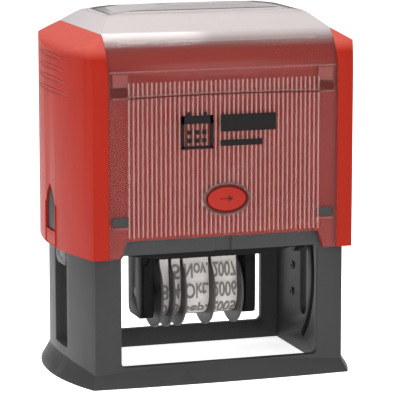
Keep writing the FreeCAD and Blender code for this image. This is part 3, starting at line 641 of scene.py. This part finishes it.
# --- frame and ink pad ---
@dataclass
class FrameAndPad:
    """The standing frame with its deck, ink pad and return springs."""

    bench: Bench
    edge: float = 0.35 * MM
    tray_edge: float = 0.25 * MM
    spring_wire: float = 1.1 * MM
    spring_turns: int = 9
    spring_steps: int = 24
    cavity_x: float = 38.8 * MM
    boss_radius: float = 1.4 * MM
    boss_bore: float = 0.6 * MM
    boss_proud: float = 0.6 * MM
    boss_spots: Tuple[Tuple[float, float], ...] = (
        (9.9 * MM, 28.1 * MM), (10.3 * MM, 19.0 * MM), (7.3 * MM, 34.7 * MM))

    def build(self) -> None:
        """Builds every piece of the frame."""
        bench = self.bench
        grey = (Body.BASE, Slot.FRAME, "frame_grey_satin", self.edge)
        bench.carry("frame_shell", "base_frame", *grey)
        bench.carry("spring_deck", "deck_plate", *grey)
        bench.carry("pad_tray", "ink_pad_tray", Body.BASE, Slot.CARRIER, "carrier_black_satin",
                    self.tray_edge)
        self.wall_bosses()
        self.felt()
        for side, name in zip(SIDES, ("left", "right")):
            self.spring(f"return_coil_{name}", f"return_spring_{name}")

    def wall_bosses(self) -> None:
        """Small hollow bosses on the inside of each guide wall."""
        bench = self.bench
        wall, proud = self.cavity_x, self.boss_proud
        parts = []
        for y, z in self.boss_spots:
            boss = bench.rod("boss", (wall + 0.3 * MM, y, z), (wall - proud, y, z),
                             self.boss_radius)
            hole = bench.rod("hole", (wall + 0.1 * MM, y, z), (wall - 2 * proud, y, z),
                             self.boss_bore)
            parts.append(bench.round_off(bench.cut(boss, hole), 0.12 * MM, 1))
        bosses = bench.join("wall_bosses_right", parts)
        twin = bench.mirror(bosses, "wall_bosses_left")
        for piece in (bosses, twin):
            bench.dress(piece, Body.BASE, Slot.FRAME, "frame_grey_satin")

    def felt(self) -> None:
        """Felt pad with softly rounded edges."""
        bench = self.bench
        low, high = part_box("ink_pad")
        pad = bench.block("felt_pad", low, high)
        bench.edit(pad, lambda: bpy.ops.mesh.subdivide(number_cuts=24))
        bench.round_off(pad, 0.5 * MM, 3)
        bench.dress(pad, Body.BASE, Slot.FELT, "ink_felt", "ink_pad")

    def spring(self, name: str, node: str) -> None:
        """Coiled return spring at rest; the share it would keep under the cap's travel is worked
        out but not used.
        """
        bench = self.bench
        low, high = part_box(node)
        centre = (low + high) / 2
        radius = (high.x - low.x) / 2 - self.spring_wire / 2
        length = high.z - low.z - self.spring_wire
        bpy.ops.object.select_all(action="DESELECT")
        bpy.ops.mesh.primitive_circle_add(
            vertices=10, radius=self.spring_wire / 2, fill_type="NOTHING",
            location=(radius, 0, 0), rotation=(math.pi / 2, 0, 0))
        coil = bpy.context.object
        coil.name = coil.data.name = name
        bpy.ops.object.transform_apply(location=True, rotation=True, scale=True)
        bench.modify(coil, "SCREW", angle=2 * math.pi * self.spring_turns,
                     screw_offset=length, steps=self.spring_steps * self.spring_turns,
                     render_steps=self.spring_steps * self.spring_turns, use_merge_vertices=False)

        def close() -> None:
            bpy.ops.mesh.select_all(action="DESELECT")
            bpy.ops.mesh.select_non_manifold()
            bpy.ops.mesh.edge_face_add()
            bpy.ops.mesh.select_all(action="SELECT")
            bpy.ops.mesh.normals_make_consistent(inside=False)

        bench.edit(coil, close, "EDGE")
        shift = (centre.x, centre.y, low.z + self.spring_wire / 2)
        coil.location = shift
        bench.pick(coil)
        bpy.ops.object.transform_apply(location=True)
        bench.smooth(coil, 50)
        bench.dress(coil, Body.BASE, Slot.SPRING, "spring_wire", node)
        travel = next(j for j in frame["joints"] if j["name"] == "cap_press")["range_m"][1]
        keep = (high.z - low.z - travel) / (high.z - low.z)
        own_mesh(coil)


# --- cap ---
@dataclass
class Cap:
    """The press-down cap: core, clear hood, side shells, arms, button and catches."""

    bench: Bench
    edge: float = 0.4 * MM
    small_edge: float = 0.3 * MM
    core_edge: float = 0.25 * MM
    rib_pitch: float = 1.5 * MM
    rib_width: float = 0.5 * MM
    rib_proud: float = 0.32 * MM
    rib_reach: float = 32.2 * MM
    rib_low: float = 48.6 * MM
    rib_high: float = 97.6 * MM
    grip_count: int = 4
    grip_pitch: float = 3.7 * MM
    grip_top: float = 104.0 * MM
    button_size: Tuple[float, float] = (13 * MM, 7.8 * MM)
    button_share: float = 0.92
    step_z: float = 101 * MM
    arch_z: float = 93.2 * MM
    corner_x: float = 43.25 * MM

    def build(self) -> None:
        """Builds every piece of the cap."""
        bench = self.bench
        self.hood_low, self.hood_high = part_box("clear_hood")
        shell_low, shell_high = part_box("side_shell_right")
        self.tip_x, self.bow_y, self.skirt_z = shell_high.x, shell_high.y, shell_low.z
        bench.carry("core_shell", "cap_core", Body.CAP, Slot.SHELL, "core_red", self.core_edge)
        bench.carry("hood_shell", "clear_hood", Body.CAP, Slot.CLEAR, "hood_clear",
                    self.small_edge)
        self.crown_window()
        for name, catch_body in (("left", Body.CATCH_LEFT), ("right", Body.CATCH_RIGHT)):
            bench.carry(f"end_shell_{name}", f"side_shell_{name}", Body.CAP, Slot.SHELL,
                        "shell_red_gloss", self.edge, 3)
            bench.carry(f"guide_arm_{name}", f"slide_arm_{name}", Body.CAP, Slot.FRAME,
                        "frame_grey_satin", self.small_edge)
            bench.carry(f"thumb_catch_{name}", f"side_catch_{name}", catch_body, Slot.FRAME,
                        "catch_grey", self.small_edge)
        bench.dress_node("index_card", "index_white")
        bench.dress_node("button_leaf_spring", "spring_wire")
        self.ribs()
        self.step_lines()
        self.clip_pads()
        self.mark()
        self.grips()
        self.catch_panels()
        self.button()

    def ribs(self) -> None:
        """Upright ribs on the hood's front and rear, stopped round the lock button."""
        bench = self.bench
        count = int(2 * self.rib_reach / self.rib_pitch) + 1
        face_y = self.hood_low.y
        first_x = -(count - 1) / 2 * self.rib_pitch
        half = self.rib_width / 2
        rib = bench.block("front_ribs", (first_x - half, face_y - self.rib_proud, self.rib_low),
                          (first_x + half, face_y + 0.3 * MM, self.rib_high))
        bench.modify(rib, "BEVEL", width=0.26 * MM, segments=2, limit_method="ANGLE",
                     angle_limit=math.radians(40))
        bench.modify(rib, "ARRAY", count=count, use_relative_offset=False,
                     use_constant_offset=True, constant_offset_displace=(self.rib_pitch, 0, 0))
        rear = bench.mirror(rib, "rear_ribs", 1)
        tool = self.oval("rib_gap", 1.5 * MM, (face_y - 2 * MM, face_y + 2 * MM))
        bench.cut(rib, tool)
        for piece in (rib, rear):
            bench.smooth(piece, 40)
            bench.dress(piece, Body.CAP, Slot.CLEAR, "rib_clear")

    def oval(self, name: str, grow: float, y_range: Tuple[float, float]) -> bpy.types.Object:
        """Elliptic block in line with the lock button, larger by a margin all round."""
        centre = middle("lock_button")
        length, height = self.button_size
        steps = 48
        points = []
        for step in range(steps):
            turn = 2 * math.pi * step / steps
            points.append((centre.x + (length / 2 + grow) * math.cos(turn), y_range[0],
                           centre.z + (height / 2 + grow) * math.sin(turn)))
        return self.bench.outline(name, points, (0, y_range[1] - y_range[0], 0))

    def strip(self, name: str, points: Sequence[Tuple[float, float]], y: float, width: float,
              depth: float) -> bpy.types.Object:
        """Thin strip along a line on the hood's front.

        Args:
            name: the strip's name.
            points: X and Z of the line's middle, left to right.
            y: the strip's front face.
            width: its height across the line.
            depth: how far it goes in from its front face.

        Returns:
            The strip.
        """
        lower = [(x, y, z - width / 2) for x, z in points]
        upper = [(x, y, z + width / 2) for x, z in reversed(points)]
        return self.bench.outline(name, lower + upper, (0, depth, 0))

    def step_lines(self) -> None:
        """Fine step across the hood, and the arched line behind the tops of its ribs, drawn as a
        dark strip of painted shadow with a paler strip of painted highlight just above it.
        """
        bench = self.bench
        reach = self.hood_high.x - 0.4 * MM
        face = self.hood_low.y
        step = self.strip("hood_step", [(-reach, self.step_z), (reach, self.step_z)],
                          face - 0.12 * MM, 0.45 * MM, 0.4 * MM)
        arch = []
        for index in range(25):
            share = -1 + index / 12
            arch.append((share * self.rib_reach, self.arch_z - 0.5 * MM * share ** 2))
        # Painted shadow along the arch, with a paler strip of painted highlight just above it.
        dark = self.strip("arch_shadow", arch, face - 0.36 * MM, 0.42 * MM, 0.3 * MM)
        light = self.strip("arch_edge", [(x, z + 0.6 * MM) for x, z in arch],
                           face - 0.34 * MM, 0.5 * MM, 0.3 * MM)
        for piece, finish in ((step, "pad_clear"), (dark, "core_shadow"), (light, "pad_clear")):
            twin = bench.mirror(piece, f"{piece.name}_rear", 1)
            for line in (piece, twin):
                bench.dress(line, Body.CAP, Slot.CLEAR, finish)

    def clip_pads(self) -> None:
        """Faces of the hood's corner clips: grey pads below, clear pads with a slot above."""
        bench = self.bench
        face = self.hood_low.y
        inner, outer = 31.5 * MM, 36.7 * MM
        low_z, high_z = (52.3 * MM, 55.1 * MM), (96.1 * MM, 100.4 * MM)
        shapes = (("clip_grey", low_z, 0.35 * MM, "frame_grey_satin", Slot.FRAME),
                  ("clip_clear", high_z, 0.2 * MM, "pad_clear", Slot.CLEAR),
                  # The slot is a dark strip in front of the hood: painted shade.
                  ("clip_slot", (93.2 * MM, 95.5 * MM), -0.08 * MM, "core_shadow", Slot.SHELL),
                  ("clip_lip", (92.4 * MM, 92.9 * MM), -0.1 * MM, "pad_clear", Slot.CLEAR),
                  ("clip_sill", (51.4 * MM, 52.0 * MM), -0.1 * MM, "pad_clear", Slot.CLEAR))
        for name, (z_low, z_high), sunk, finish, slot in shapes:
            pads = []
            for side in SIDES:
                x_low, x_high = sorted((side * inner, side * outer))
                pads.append(bench.block(name, (x_low, face + sunk, z_low),
                                        (x_high, face + 0.5 * MM, z_high)))
            pads += [bench.mirror(pad, name, 1) for pad in pads]
            bench.dress(bench.join(name, pads), Body.CAP, slot, finish)

    def crown_window(self) -> None:
        """Raised rim round the index card's window on top of the hood, drawn pale as a painted
        highlight, with a dark grey ring inside it as the painted shadow of a groove.
        """
        bench = self.bench
        hood = bench.from_node("hood_skin", "clear_hood")
        reach, near, far = 33.2 * MM, -13.0 * MM, 13.0 * MM
        # The pale rim is a painted highlight; the dark grey ring inside it is painted shadow
        # standing for a groove.
        for name, width, proud, finish in (("crown_rim", 1.5 * MM, 0.22 * MM, "edge_clear"),
                                           ("crown_groove", 0.7 * MM, 0.24 * MM, "wheel_grey")):
            inset = 0.0 if name == "crown_rim" else 1.5 * MM
            x, y_near, y_far = reach - inset, near + inset, far - inset
            ring = bench.block(name, (-x, y_near, 60 * MM), (x, y_far, 140 * MM))
            hole = bench.block("hole", (-x + width, y_near + width, 50 * MM),
                               (x - width, y_far - width, 150 * MM))
            bench.cut(ring, hole)
            skin = bench.copy(hood, (0, 0, proud))
            bench.modify(ring, "BOOLEAN", object=skin, operation="INTERSECT", solver="EXACT")
            bpy.data.objects.remove(skin)
            ring.name = ring.data.name = name
            bench.dress(ring, Body.CAP, Slot.CLEAR, finish)
        bpy.data.objects.remove(hood)

    def mark(self) -> None:
        """Plain calendar mark on the hood: a page with day squares beside two bars."""
        bench = self.bench
        y_low, y_high = self.hood_low.y - 0.42 * MM, self.hood_low.y - 0.05 * MM
        left, low = -14.5 * MM, 76.0 * MM
        size, line = 10.6 * MM, 1.0 * MM
        spots = [((left, low), (left + size, low + line)),
                 ((left, low), (left + line, low + size)),
                 ((left + size - line, low), (left + size, low + size)),
                 ((left, low + size - 2.6 * MM), (left + size, low + size))]
        for peg in (0.25, 0.75):
            x = left + peg * size
            spots.append(((x - line / 2, low + size), (x + line / 2, low + size + 1.2 * MM)))
        for row in range(2):
            for column in range(3):
                x, z = left + (2.1 + 2.4 * column) * MM, low + (2.0 + 2.6 * row) * MM
                spots.append(((x, z), (x + 1.4 * MM, z + 1.4 * MM)))
        for z, height, reach in ((5.2, 5.4, 31.5), (0.6, 1.9, 27.0)):
            start = left + size + 2.4 * MM
            spots.append(((start, low + z * MM), (left + reach * MM, low + (z + height) * MM)))
        blocks = [bench.block("mark", (a[0], y_low, a[1]), (b[0], y_high, b[1]))
                  for a, b in spots]
        bench.dress(bench.join("calendar_mark", blocks), Body.CAP, Slot.CLEAR, "print_ink")

    def end_x(self, y: float) -> float:
        """X of the side shell's outer face at a Y."""
        rise = self.tip_x - self.corner_x
        half = self.bow_y
        radius = (half ** 2 + rise ** 2) / (2 * rise)
        return self.tip_x - radius + math.sqrt(radius ** 2 - y ** 2)

    def grips(self) -> None:
        """Four bowed grip ridges near the top of each side shell."""
        bench = self.bench
        ridges = []
        for index in range(self.grip_count):
            half = (15.0 + 1.5 * index) * MM
            top_z = self.grip_top - index * self.grip_pitch
            points = []
            for side, steps in ((-1, range(17)), (1, range(15, 0, -1))):
                for step in steps:
                    share = -1 + step / 8
                    thick = 0.75 * MM * (1 - share ** 2) + 0.02 * MM
                    points.append((self.tip_x, share * half,
                                   top_z - 0.5 * MM * share ** 2 + side * thick))
            ridges.append(bench.outline("grip", points, (1.0 * MM, 0, 0)))
        grips = bench.join("grip_ridges_right", ridges)
        for vertex in grips.data.vertices:
            proud = 0.18 * MM if vertex.co.x > self.tip_x + 0.5 * MM else -0.6 * MM
            taper = 1 - (abs(vertex.co.y) / (20 * MM)) ** 2
            vertex.co.x = self.end_x(vertex.co.y) + (proud * taper if proud > 0 else proud)
        bench.smooth(grips, 30)
        left = bench.mirror(grips, "grip_ridges_left")
        for piece in (grips, left):
            bench.dress(piece, Body.CAP, Slot.SHELL, "shell_red_gloss")

    def catch_panels(self) -> None:
        """Frame round each thumb catch, with a sill below it."""
        bench = self.bench
        low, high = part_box("side_catch_right")
        half, foot = 5.7 * MM, self.skirt_z
        bars = []
        for side in SIDES:
            y_low, y_high = sorted((side * half, side * (half + 0.55 * MM)))
            bars.append(((y_low, foot), (y_high, high.z - 7.0 * MM)))
        bars.append(((-half, low.z - 0.75 * MM), (half, low.z - 0.25 * MM)))
        bars.append(((-half, foot), (half, foot + 0.5 * MM)))
        blocks = [bench.block("bar", (self.end_x(6 * MM) - 0.4 * MM, a[0], a[1]),
                              (self.end_x(6 * MM) + 0.28 * MM, b[0], b[1])) for a, b in bars]
        frame_right = bench.join("catch_frame_right", blocks)
        bench.round_off(frame_right, 0.12 * MM, 1)
        frame_left = bench.mirror(frame_right, "catch_frame_left")
        for piece in (frame_right, frame_left):
            bench.dress(piece, Body.CAP, Slot.SHELL, "shell_red_gloss")

    def button(self) -> None:
        """Lock button with a raised arrow mark, in a lipped bezel on the hood."""
        bench = self.bench
        knob = bench.from_node("oval_button", "lock_button")
        centre = middle("lock_button")
        for vertex in knob.data.vertices:
            for axis in (0, 2):
                offset = vertex.co[axis] - centre[axis]
                vertex.co[axis] = centre[axis] + offset * self.button_share
        bench.round_off(knob, 0.5 * MM, 3)
        bench.dress(knob, Body.BUTTON, Slot.BUTTON, "button_red_gloss", "lock_button")
        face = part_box("lock_button")[0].y
        for name, inner, outer, proud, finish in (
                ("button_shade", 0.22, 0.75, 0.1, "core_shadow"),
                ("button_bezel", 0.75, 1.5, 0.35, "pad_clear")):
            lip = self.oval(name, outer * MM, (self.hood_low.y - proud * MM,
                                               self.hood_low.y + 0.4 * MM))
            hole = self.oval("bezel_hole", inner * MM, (self.hood_low.y - 2 * MM,
                                                        self.hood_low.y + 2 * MM))
            bench.cut(lip, hole)
            bench.round_off(lip, 0.1 * MM, 1)
            bench.dress(lip, Body.CAP, Slot.CLEAR, finish)
        arrow = [(-2.4, 0.15), (0.5, 0.15), (0.5, 1.1), (2.2, 0.0), (0.5, -1.1), (0.5, -0.15),
                 (-2.4, -0.15)]
        points = [(centre.x + x * MM, face - 0.06 * MM, centre.z + z * MM) for x, z in arrow]
        mark = bench.outline("button_arrow", points, (0, 0.3 * MM, 0))
        bench.round_off(mark, 0.06 * MM, 1)
        bench.dress(mark, Body.BUTTON, Slot.BUTTON, "core_shadow")


# --- carrier and dater ---
@dataclass
class Carrier:
    """The turning plate holder with its text plate and axles."""

    bench: Bench
    edge: float = 0.3 * MM
    relief: float = 0.5 * MM
    step_z: float = 34.6 * MM

    def build(self) -> None:
        """Builds the holder, plate, cheeks and axles."""
        bench = self.bench
        black = (Body.CARRIER, Slot.CARRIER, "carrier_black_satin", self.edge)
        bench.carry("holder_shell", "plate_holder", *black)
        for name in ("left", "right"):
            bench.carry(f"cheek_plate_{name}", f"dater_cheek_{name}", *black)
            bench.dress_node(f"carrier_axle_{name}", "axle_blackened")
            self.cheek_fronts(name)
        bench.dress_node("band_bridge", "carrier_black_satin")
        bench.dress_node("wheel_axle", "axle_blackened")
        self.text_plate()

    def cheek_fronts(self, name: str) -> None:
        """Raised stepped faces on the front and rear of one cheek."""
        bench = self.bench
        low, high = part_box(f"dater_cheek_{name}")
        outer, inward = (low.x, 1) if name == "left" else (high.x, -1)
        foot, step, head = low.z + 0.8 * MM, self.step_z, self.step_z + 6 * MM
        corners_xz = ((0.3, foot), (3.7, foot), (3.7, head), (2.2, head), (2.2, step + 2 * MM),
                      (1.9, step + 0.9 * MM), (1.2, step + 0.2 * MM), (0.3, step))
        points = [(outer + inward * x * MM, low.y - 0.5 * MM, z) for x, z in corners_xz]
        front = bench.outline(f"cheek_front_{name}", points, (0, 0.8 * MM, 0))
        bench.round_off(front, 0.2 * MM)
        rear = bench.mirror(front, f"cheek_rear_{name}", 1)
        for piece in (front, rear):
            bench.dress(piece, Body.CARRIER, Slot.CARRIER, "carrier_black_satin")

    def text_plate(self) -> None:
        """Rubber plate with a raised frame and plain lines either side of the dates."""
        bench = self.bench
        low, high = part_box("text_plate")
        base = bench.from_node("plate_rubber_sheet", "text_plate")
        for vertex in base.data.vertices:
            vertex.co.z = min(vertex.co.z, high.z - self.relief)
        bench.round_off(base, 0.2 * MM)
        z_range = (high.z - self.relief - 0.1 * MM, high.z)
        margin, width = 1.5 * MM, 0.6 * MM
        x, y = high.x - margin, high.y - margin
        bars = []
        for side in SIDES:
            bars.append(((-x, side * y - width / 2), (x, side * y + width / 2)))
            bars.append(((side * x - width / 2, -y), (side * x + width / 2, y)))
            for row, reach in ((14.0, 0.82), (11.0, 0.6), (8.0, 0.72)):
                half = x * reach
                bars.append(((-half, side * row * MM - 0.55 * MM),
                             (half, side * row * MM + 0.55 * MM)))
        lines = [bench.block("line", (*a, z_range[0]), (*b, z_range[1])) for a, b in bars]
        relief = bench.join("plate_relief", lines)
        bench.round_off(relief, 0.12 * MM, 1)
        for piece, nodes in ((base, ("text_plate",)), (relief, ())):
            bench.dress(piece, Body.CARRIER, Slot.PLATE, "plate_red_rubber", *nodes)


@dataclass
class DateBand:
    """One rubber band with raised pads and characters, round bridge and drum."""

    bench: Bench
    name: str
    rows: Tuple[str, ...]
    wheel_radius: float = 7.9 * MM
    top_radius: float = 4.5 * MM
    belt: float = 0.75 * MM
    pad_height: float = 0.2 * MM
    glyph_height: float = 0.25 * MM
    pad_share: float = 0.8
    letter_height: float = 5.0 * MM
    samples: int = 10

    def __post_init__(self) -> None:
        """Takes the band's place from the frame."""
        low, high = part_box(f"date_band_{self.name}")
        self.low_x, self.high_x = low.x, high.x
        stack = self.pad_height + self.glyph_height
        self.wheel_z = low.z + self.wheel_radius + stack
        self.top_z = high.z - self.top_radius - stack
        gap = self.top_z - self.wheel_z
        self.tilt = math.asin((self.wheel_radius - self.top_radius) / gap)
        self.straight = math.sqrt(gap ** 2 - (self.wheel_radius - self.top_radius) ** 2)
        self.top_arc = self.top_radius * (math.pi / 2 - self.tilt)
        self.wheel_arc = self.wheel_radius * (math.pi / 2 + self.tilt)
        self.length = 2 * (self.top_arc + self.straight + self.wheel_arc)
        self.pitch = self.length / len(self.rows)

    def path(self, along: float, height: float) -> Tuple[float, float]:
        """Place on the belt in the YZ plane.

        Args:
            along: distance from the top of the bridge, down the front.
            height: height above the belt's face.

        Returns:
            Y and Z.
        """
        along = (along + self.length / 2) % self.length - self.length / 2
        side = -1 if along >= 0 else 1
        along = abs(along)
        if along <= self.top_arc:
            turn = math.pi / 2 - along / self.top_radius
            centre, radius = self.top_z, self.top_radius
        elif along <= self.top_arc + self.straight:
            share = (along - self.top_arc) / self.straight
            turn = self.tilt
            centre = self.top_z + (self.wheel_z - self.top_z) * share
            radius = self.top_radius + (self.wheel_radius - self.top_radius) * share
        else:
            turn = self.tilt - (along - self.top_arc - self.straight) / self.wheel_radius
            centre, radius = self.wheel_z, self.wheel_radius
        reach = radius + height
        return side * reach * math.cos(turn), centre + reach * math.sin(turn)

    def pad_profile(self, along: float) -> float:
        """Height of the row pads at a distance along the belt."""
        share = abs(along / self.pitch - round(along / self.pitch)) * 2
        return self.pad_height * min(1.0, max(0.0, (1 - share) / (1 - self.pad_share)))

    def build(self) -> None:
        """Builds the belt and its characters."""
        bench = self.bench
        total = self.samples * len(self.rows)
        spots = [index * self.length / total for index in range(total)]
        outer = [(self.low_x, *self.path(s, self.pad_profile(s))) for s in spots]
        inner = [(self.low_x, *self.path(s, -self.belt)) for s in spots]
        name = f"belt_{self.name}"
        belt = bench.join(name, [bench.ring(name, outer), bench.ring(name, inner)])
        width = self.high_x - self.low_x

        def web_and_push() -> None:
            bpy.ops.mesh.bridge_edge_loops()
            bpy.ops.mesh.select_all(action="SELECT")
            bpy.ops.mesh.extrude_region_move(TRANSFORM_OT_translate={"value": (width, 0, 0)})
            bpy.ops.mesh.select_all(action="SELECT")
            bpy.ops.mesh.normals_make_consistent(inside=False)

        bench.edit(belt, web_and_push, "EDGE")
        bench.round_off(belt, 0.08 * MM, 1, 50)
        bench.dress(belt, Body.CARRIER, Slot.BAND, "band_off_white", f"date_band_{self.name}")
        glyphs = [self.row(text, index * self.pitch) for index, text in enumerate(self.rows)
                  if text]
        letters = bench.join(f"characters_{self.name}", glyphs)
        bench.smooth(letters, 30)
        bench.dress(letters, Body.CARRIER, Slot.BAND, "character_rubber")

    def row(self, text: str, along: float) -> bpy.types.Object:
        """One row of raised characters, bent round the belt.

        Args:
            text: the row's characters.
            along: distance of the row's centre from the top, down the front.

        Returns:
            The row's mesh, upside down as on any printing band.
        """
        bpy.ops.object.select_all(action="DESELECT")
        bpy.ops.object.text_add()
        label = bpy.context.object
        label.data.body = text
        label.data.extrude = 0.5
        label.data.offset = 0.018
        label.data.resolution_u = 4
        bpy.ops.object.convert(target="MESH")
        label = bpy.context.object
        spots = [vertex.co for vertex in label.data.vertices]
        left, right = min(c.x for c in spots), max(c.x for c in spots)
        foot, head = min(c.y for c in spots), max(c.y for c in spots)
        width = (self.high_x - self.low_x) - 0.5 * MM
        x_scale = min(width / (right - left), 1.1 * self.letter_height / (head - foot))
        y_scale = self.letter_height / (head - foot)
        centre_x = (self.low_x + self.high_x) / 2
        for spot in spots:
            x = centre_x + (spot.x - (left + right) / 2) * x_scale
            offset = (spot.y - (foot + head) / 2) * y_scale
            height = self.pad_height + (self.glyph_height if spot.z > 0 else -0.1 * MM)
            y, z = self.path(along + offset, height)
            spot.xyz = (x, y, z)
        return label


@dataclass
class Dater:
    """The row of band wheels and their bands."""

    bench: Bench

    def build(self) -> None:
        """Builds wheels, discs, bands and characters."""
        bench = self.bench
        for name in ("day_tens", "day_units", "month", "year"):
            bench.dress_node(f"band_wheel_{name}", "wheel_grey")
        bench.dress_node("end_disc", "wheel_grey")
        tens = ("3", "2", "1", "0", "", "3", "0", "3", "2", "1", "0", "3", "2", "1")
        units = tuple(str((9 - index) % 10) for index in range(14))
        months = ("", "", "Jan.", "Dez.", "Nov.", "Okt.", "Sep.", "Aug.", "Juli", "Juni", "Mai",
                  "Apr.", "Mär.", "Feb.")
        years = tuple(str(2011 - index) for index in range(14))
        for name, rows in (("day_tens", tens), ("day_units", units), ("month", months),
                           ("year", years)):
            DateBand(bench, name, rows).build()


# --- studio ---
@dataclass
class Studio:
    """Camera, soft lights and a plain pale floor."""

    finishes: Finishes
    eye: Point = (-0.2601, -0.8013, 0.1965)
    turn: float = 18.14
    dip: float = 9.6
    lens: float = 234.0
    sky: float = 0.4
    floor_size: float = 6.0
    lights: Tuple[Tuple[str, Point, float, float], ...] = (
        ("key_left", (-0.75, -0.45, 0.5), 0.5, 3.6),
        ("fill_front", (0.25, -0.9, 0.35), 0.5, 2.5),
        ("top", (-0.1, 0.0, 0.8), 0.6, 8.0))

    def build(self) -> None:
        """Places camera, lights and floor."""
        scene = bpy.context.scene
        scene.view_settings.view_transform = "Standard"
        camera = bpy.data.objects.new("camera", bpy.data.cameras.new("camera"))
        scene.collection.objects.link(camera)
        camera.location = self.eye
        camera.rotation_euler = (math.radians(90 - self.dip), 0, math.radians(-self.turn))
        camera.data.lens = self.lens
        camera.data.sensor_width = 36.0
        camera.data.clip_start = 0.01
        scene.camera = camera
        world = bpy.data.worlds.new("studio")
        world.use_nodes = True
        world.node_tree.nodes["Background"].inputs["Color"].default_value = (1, 1, 1, 1)
        world.node_tree.nodes["Background"].inputs["Strength"].default_value = self.sky
        scene.world = world
        for settings in self.lights:
            self.light(*settings)
        bpy.ops.mesh.primitive_plane_add(size=self.floor_size)
        floor = bpy.context.object
        floor.name = "floor"
        floor.data.materials.append(self.finishes["floor_white"])

    def light(self, name: str, place: Point, size: float, power: float) -> None:
        """Adds a square soft light aimed at the stamp."""
        data = bpy.data.lights.new(name, "AREA")
        data.size = size
        data.energy = power
        lamp = bpy.data.objects.new(name, data)
        lamp.location = place
        aim = Vector((0, 0, 0.06)) - Vector(place)
        lamp.rotation_euler = aim.to_track_quat("-Z", "Y").to_euler()
        bpy.context.scene.collection.objects.link(lamp)


def main() -> None:
    """Builds the stamp's looks and its studio, in order."""
    logging.basicConfig(level=logging.INFO, format="%(message)s")
    finishes = Finishes()
    bench = Bench(finishes)
    Studio(finishes).build()
    FrameAndPad(bench).build()
    Cap(bench).build()
    Carrier(bench).build()
    Dater(bench).build()


if __name__ == "__main__":
    main()
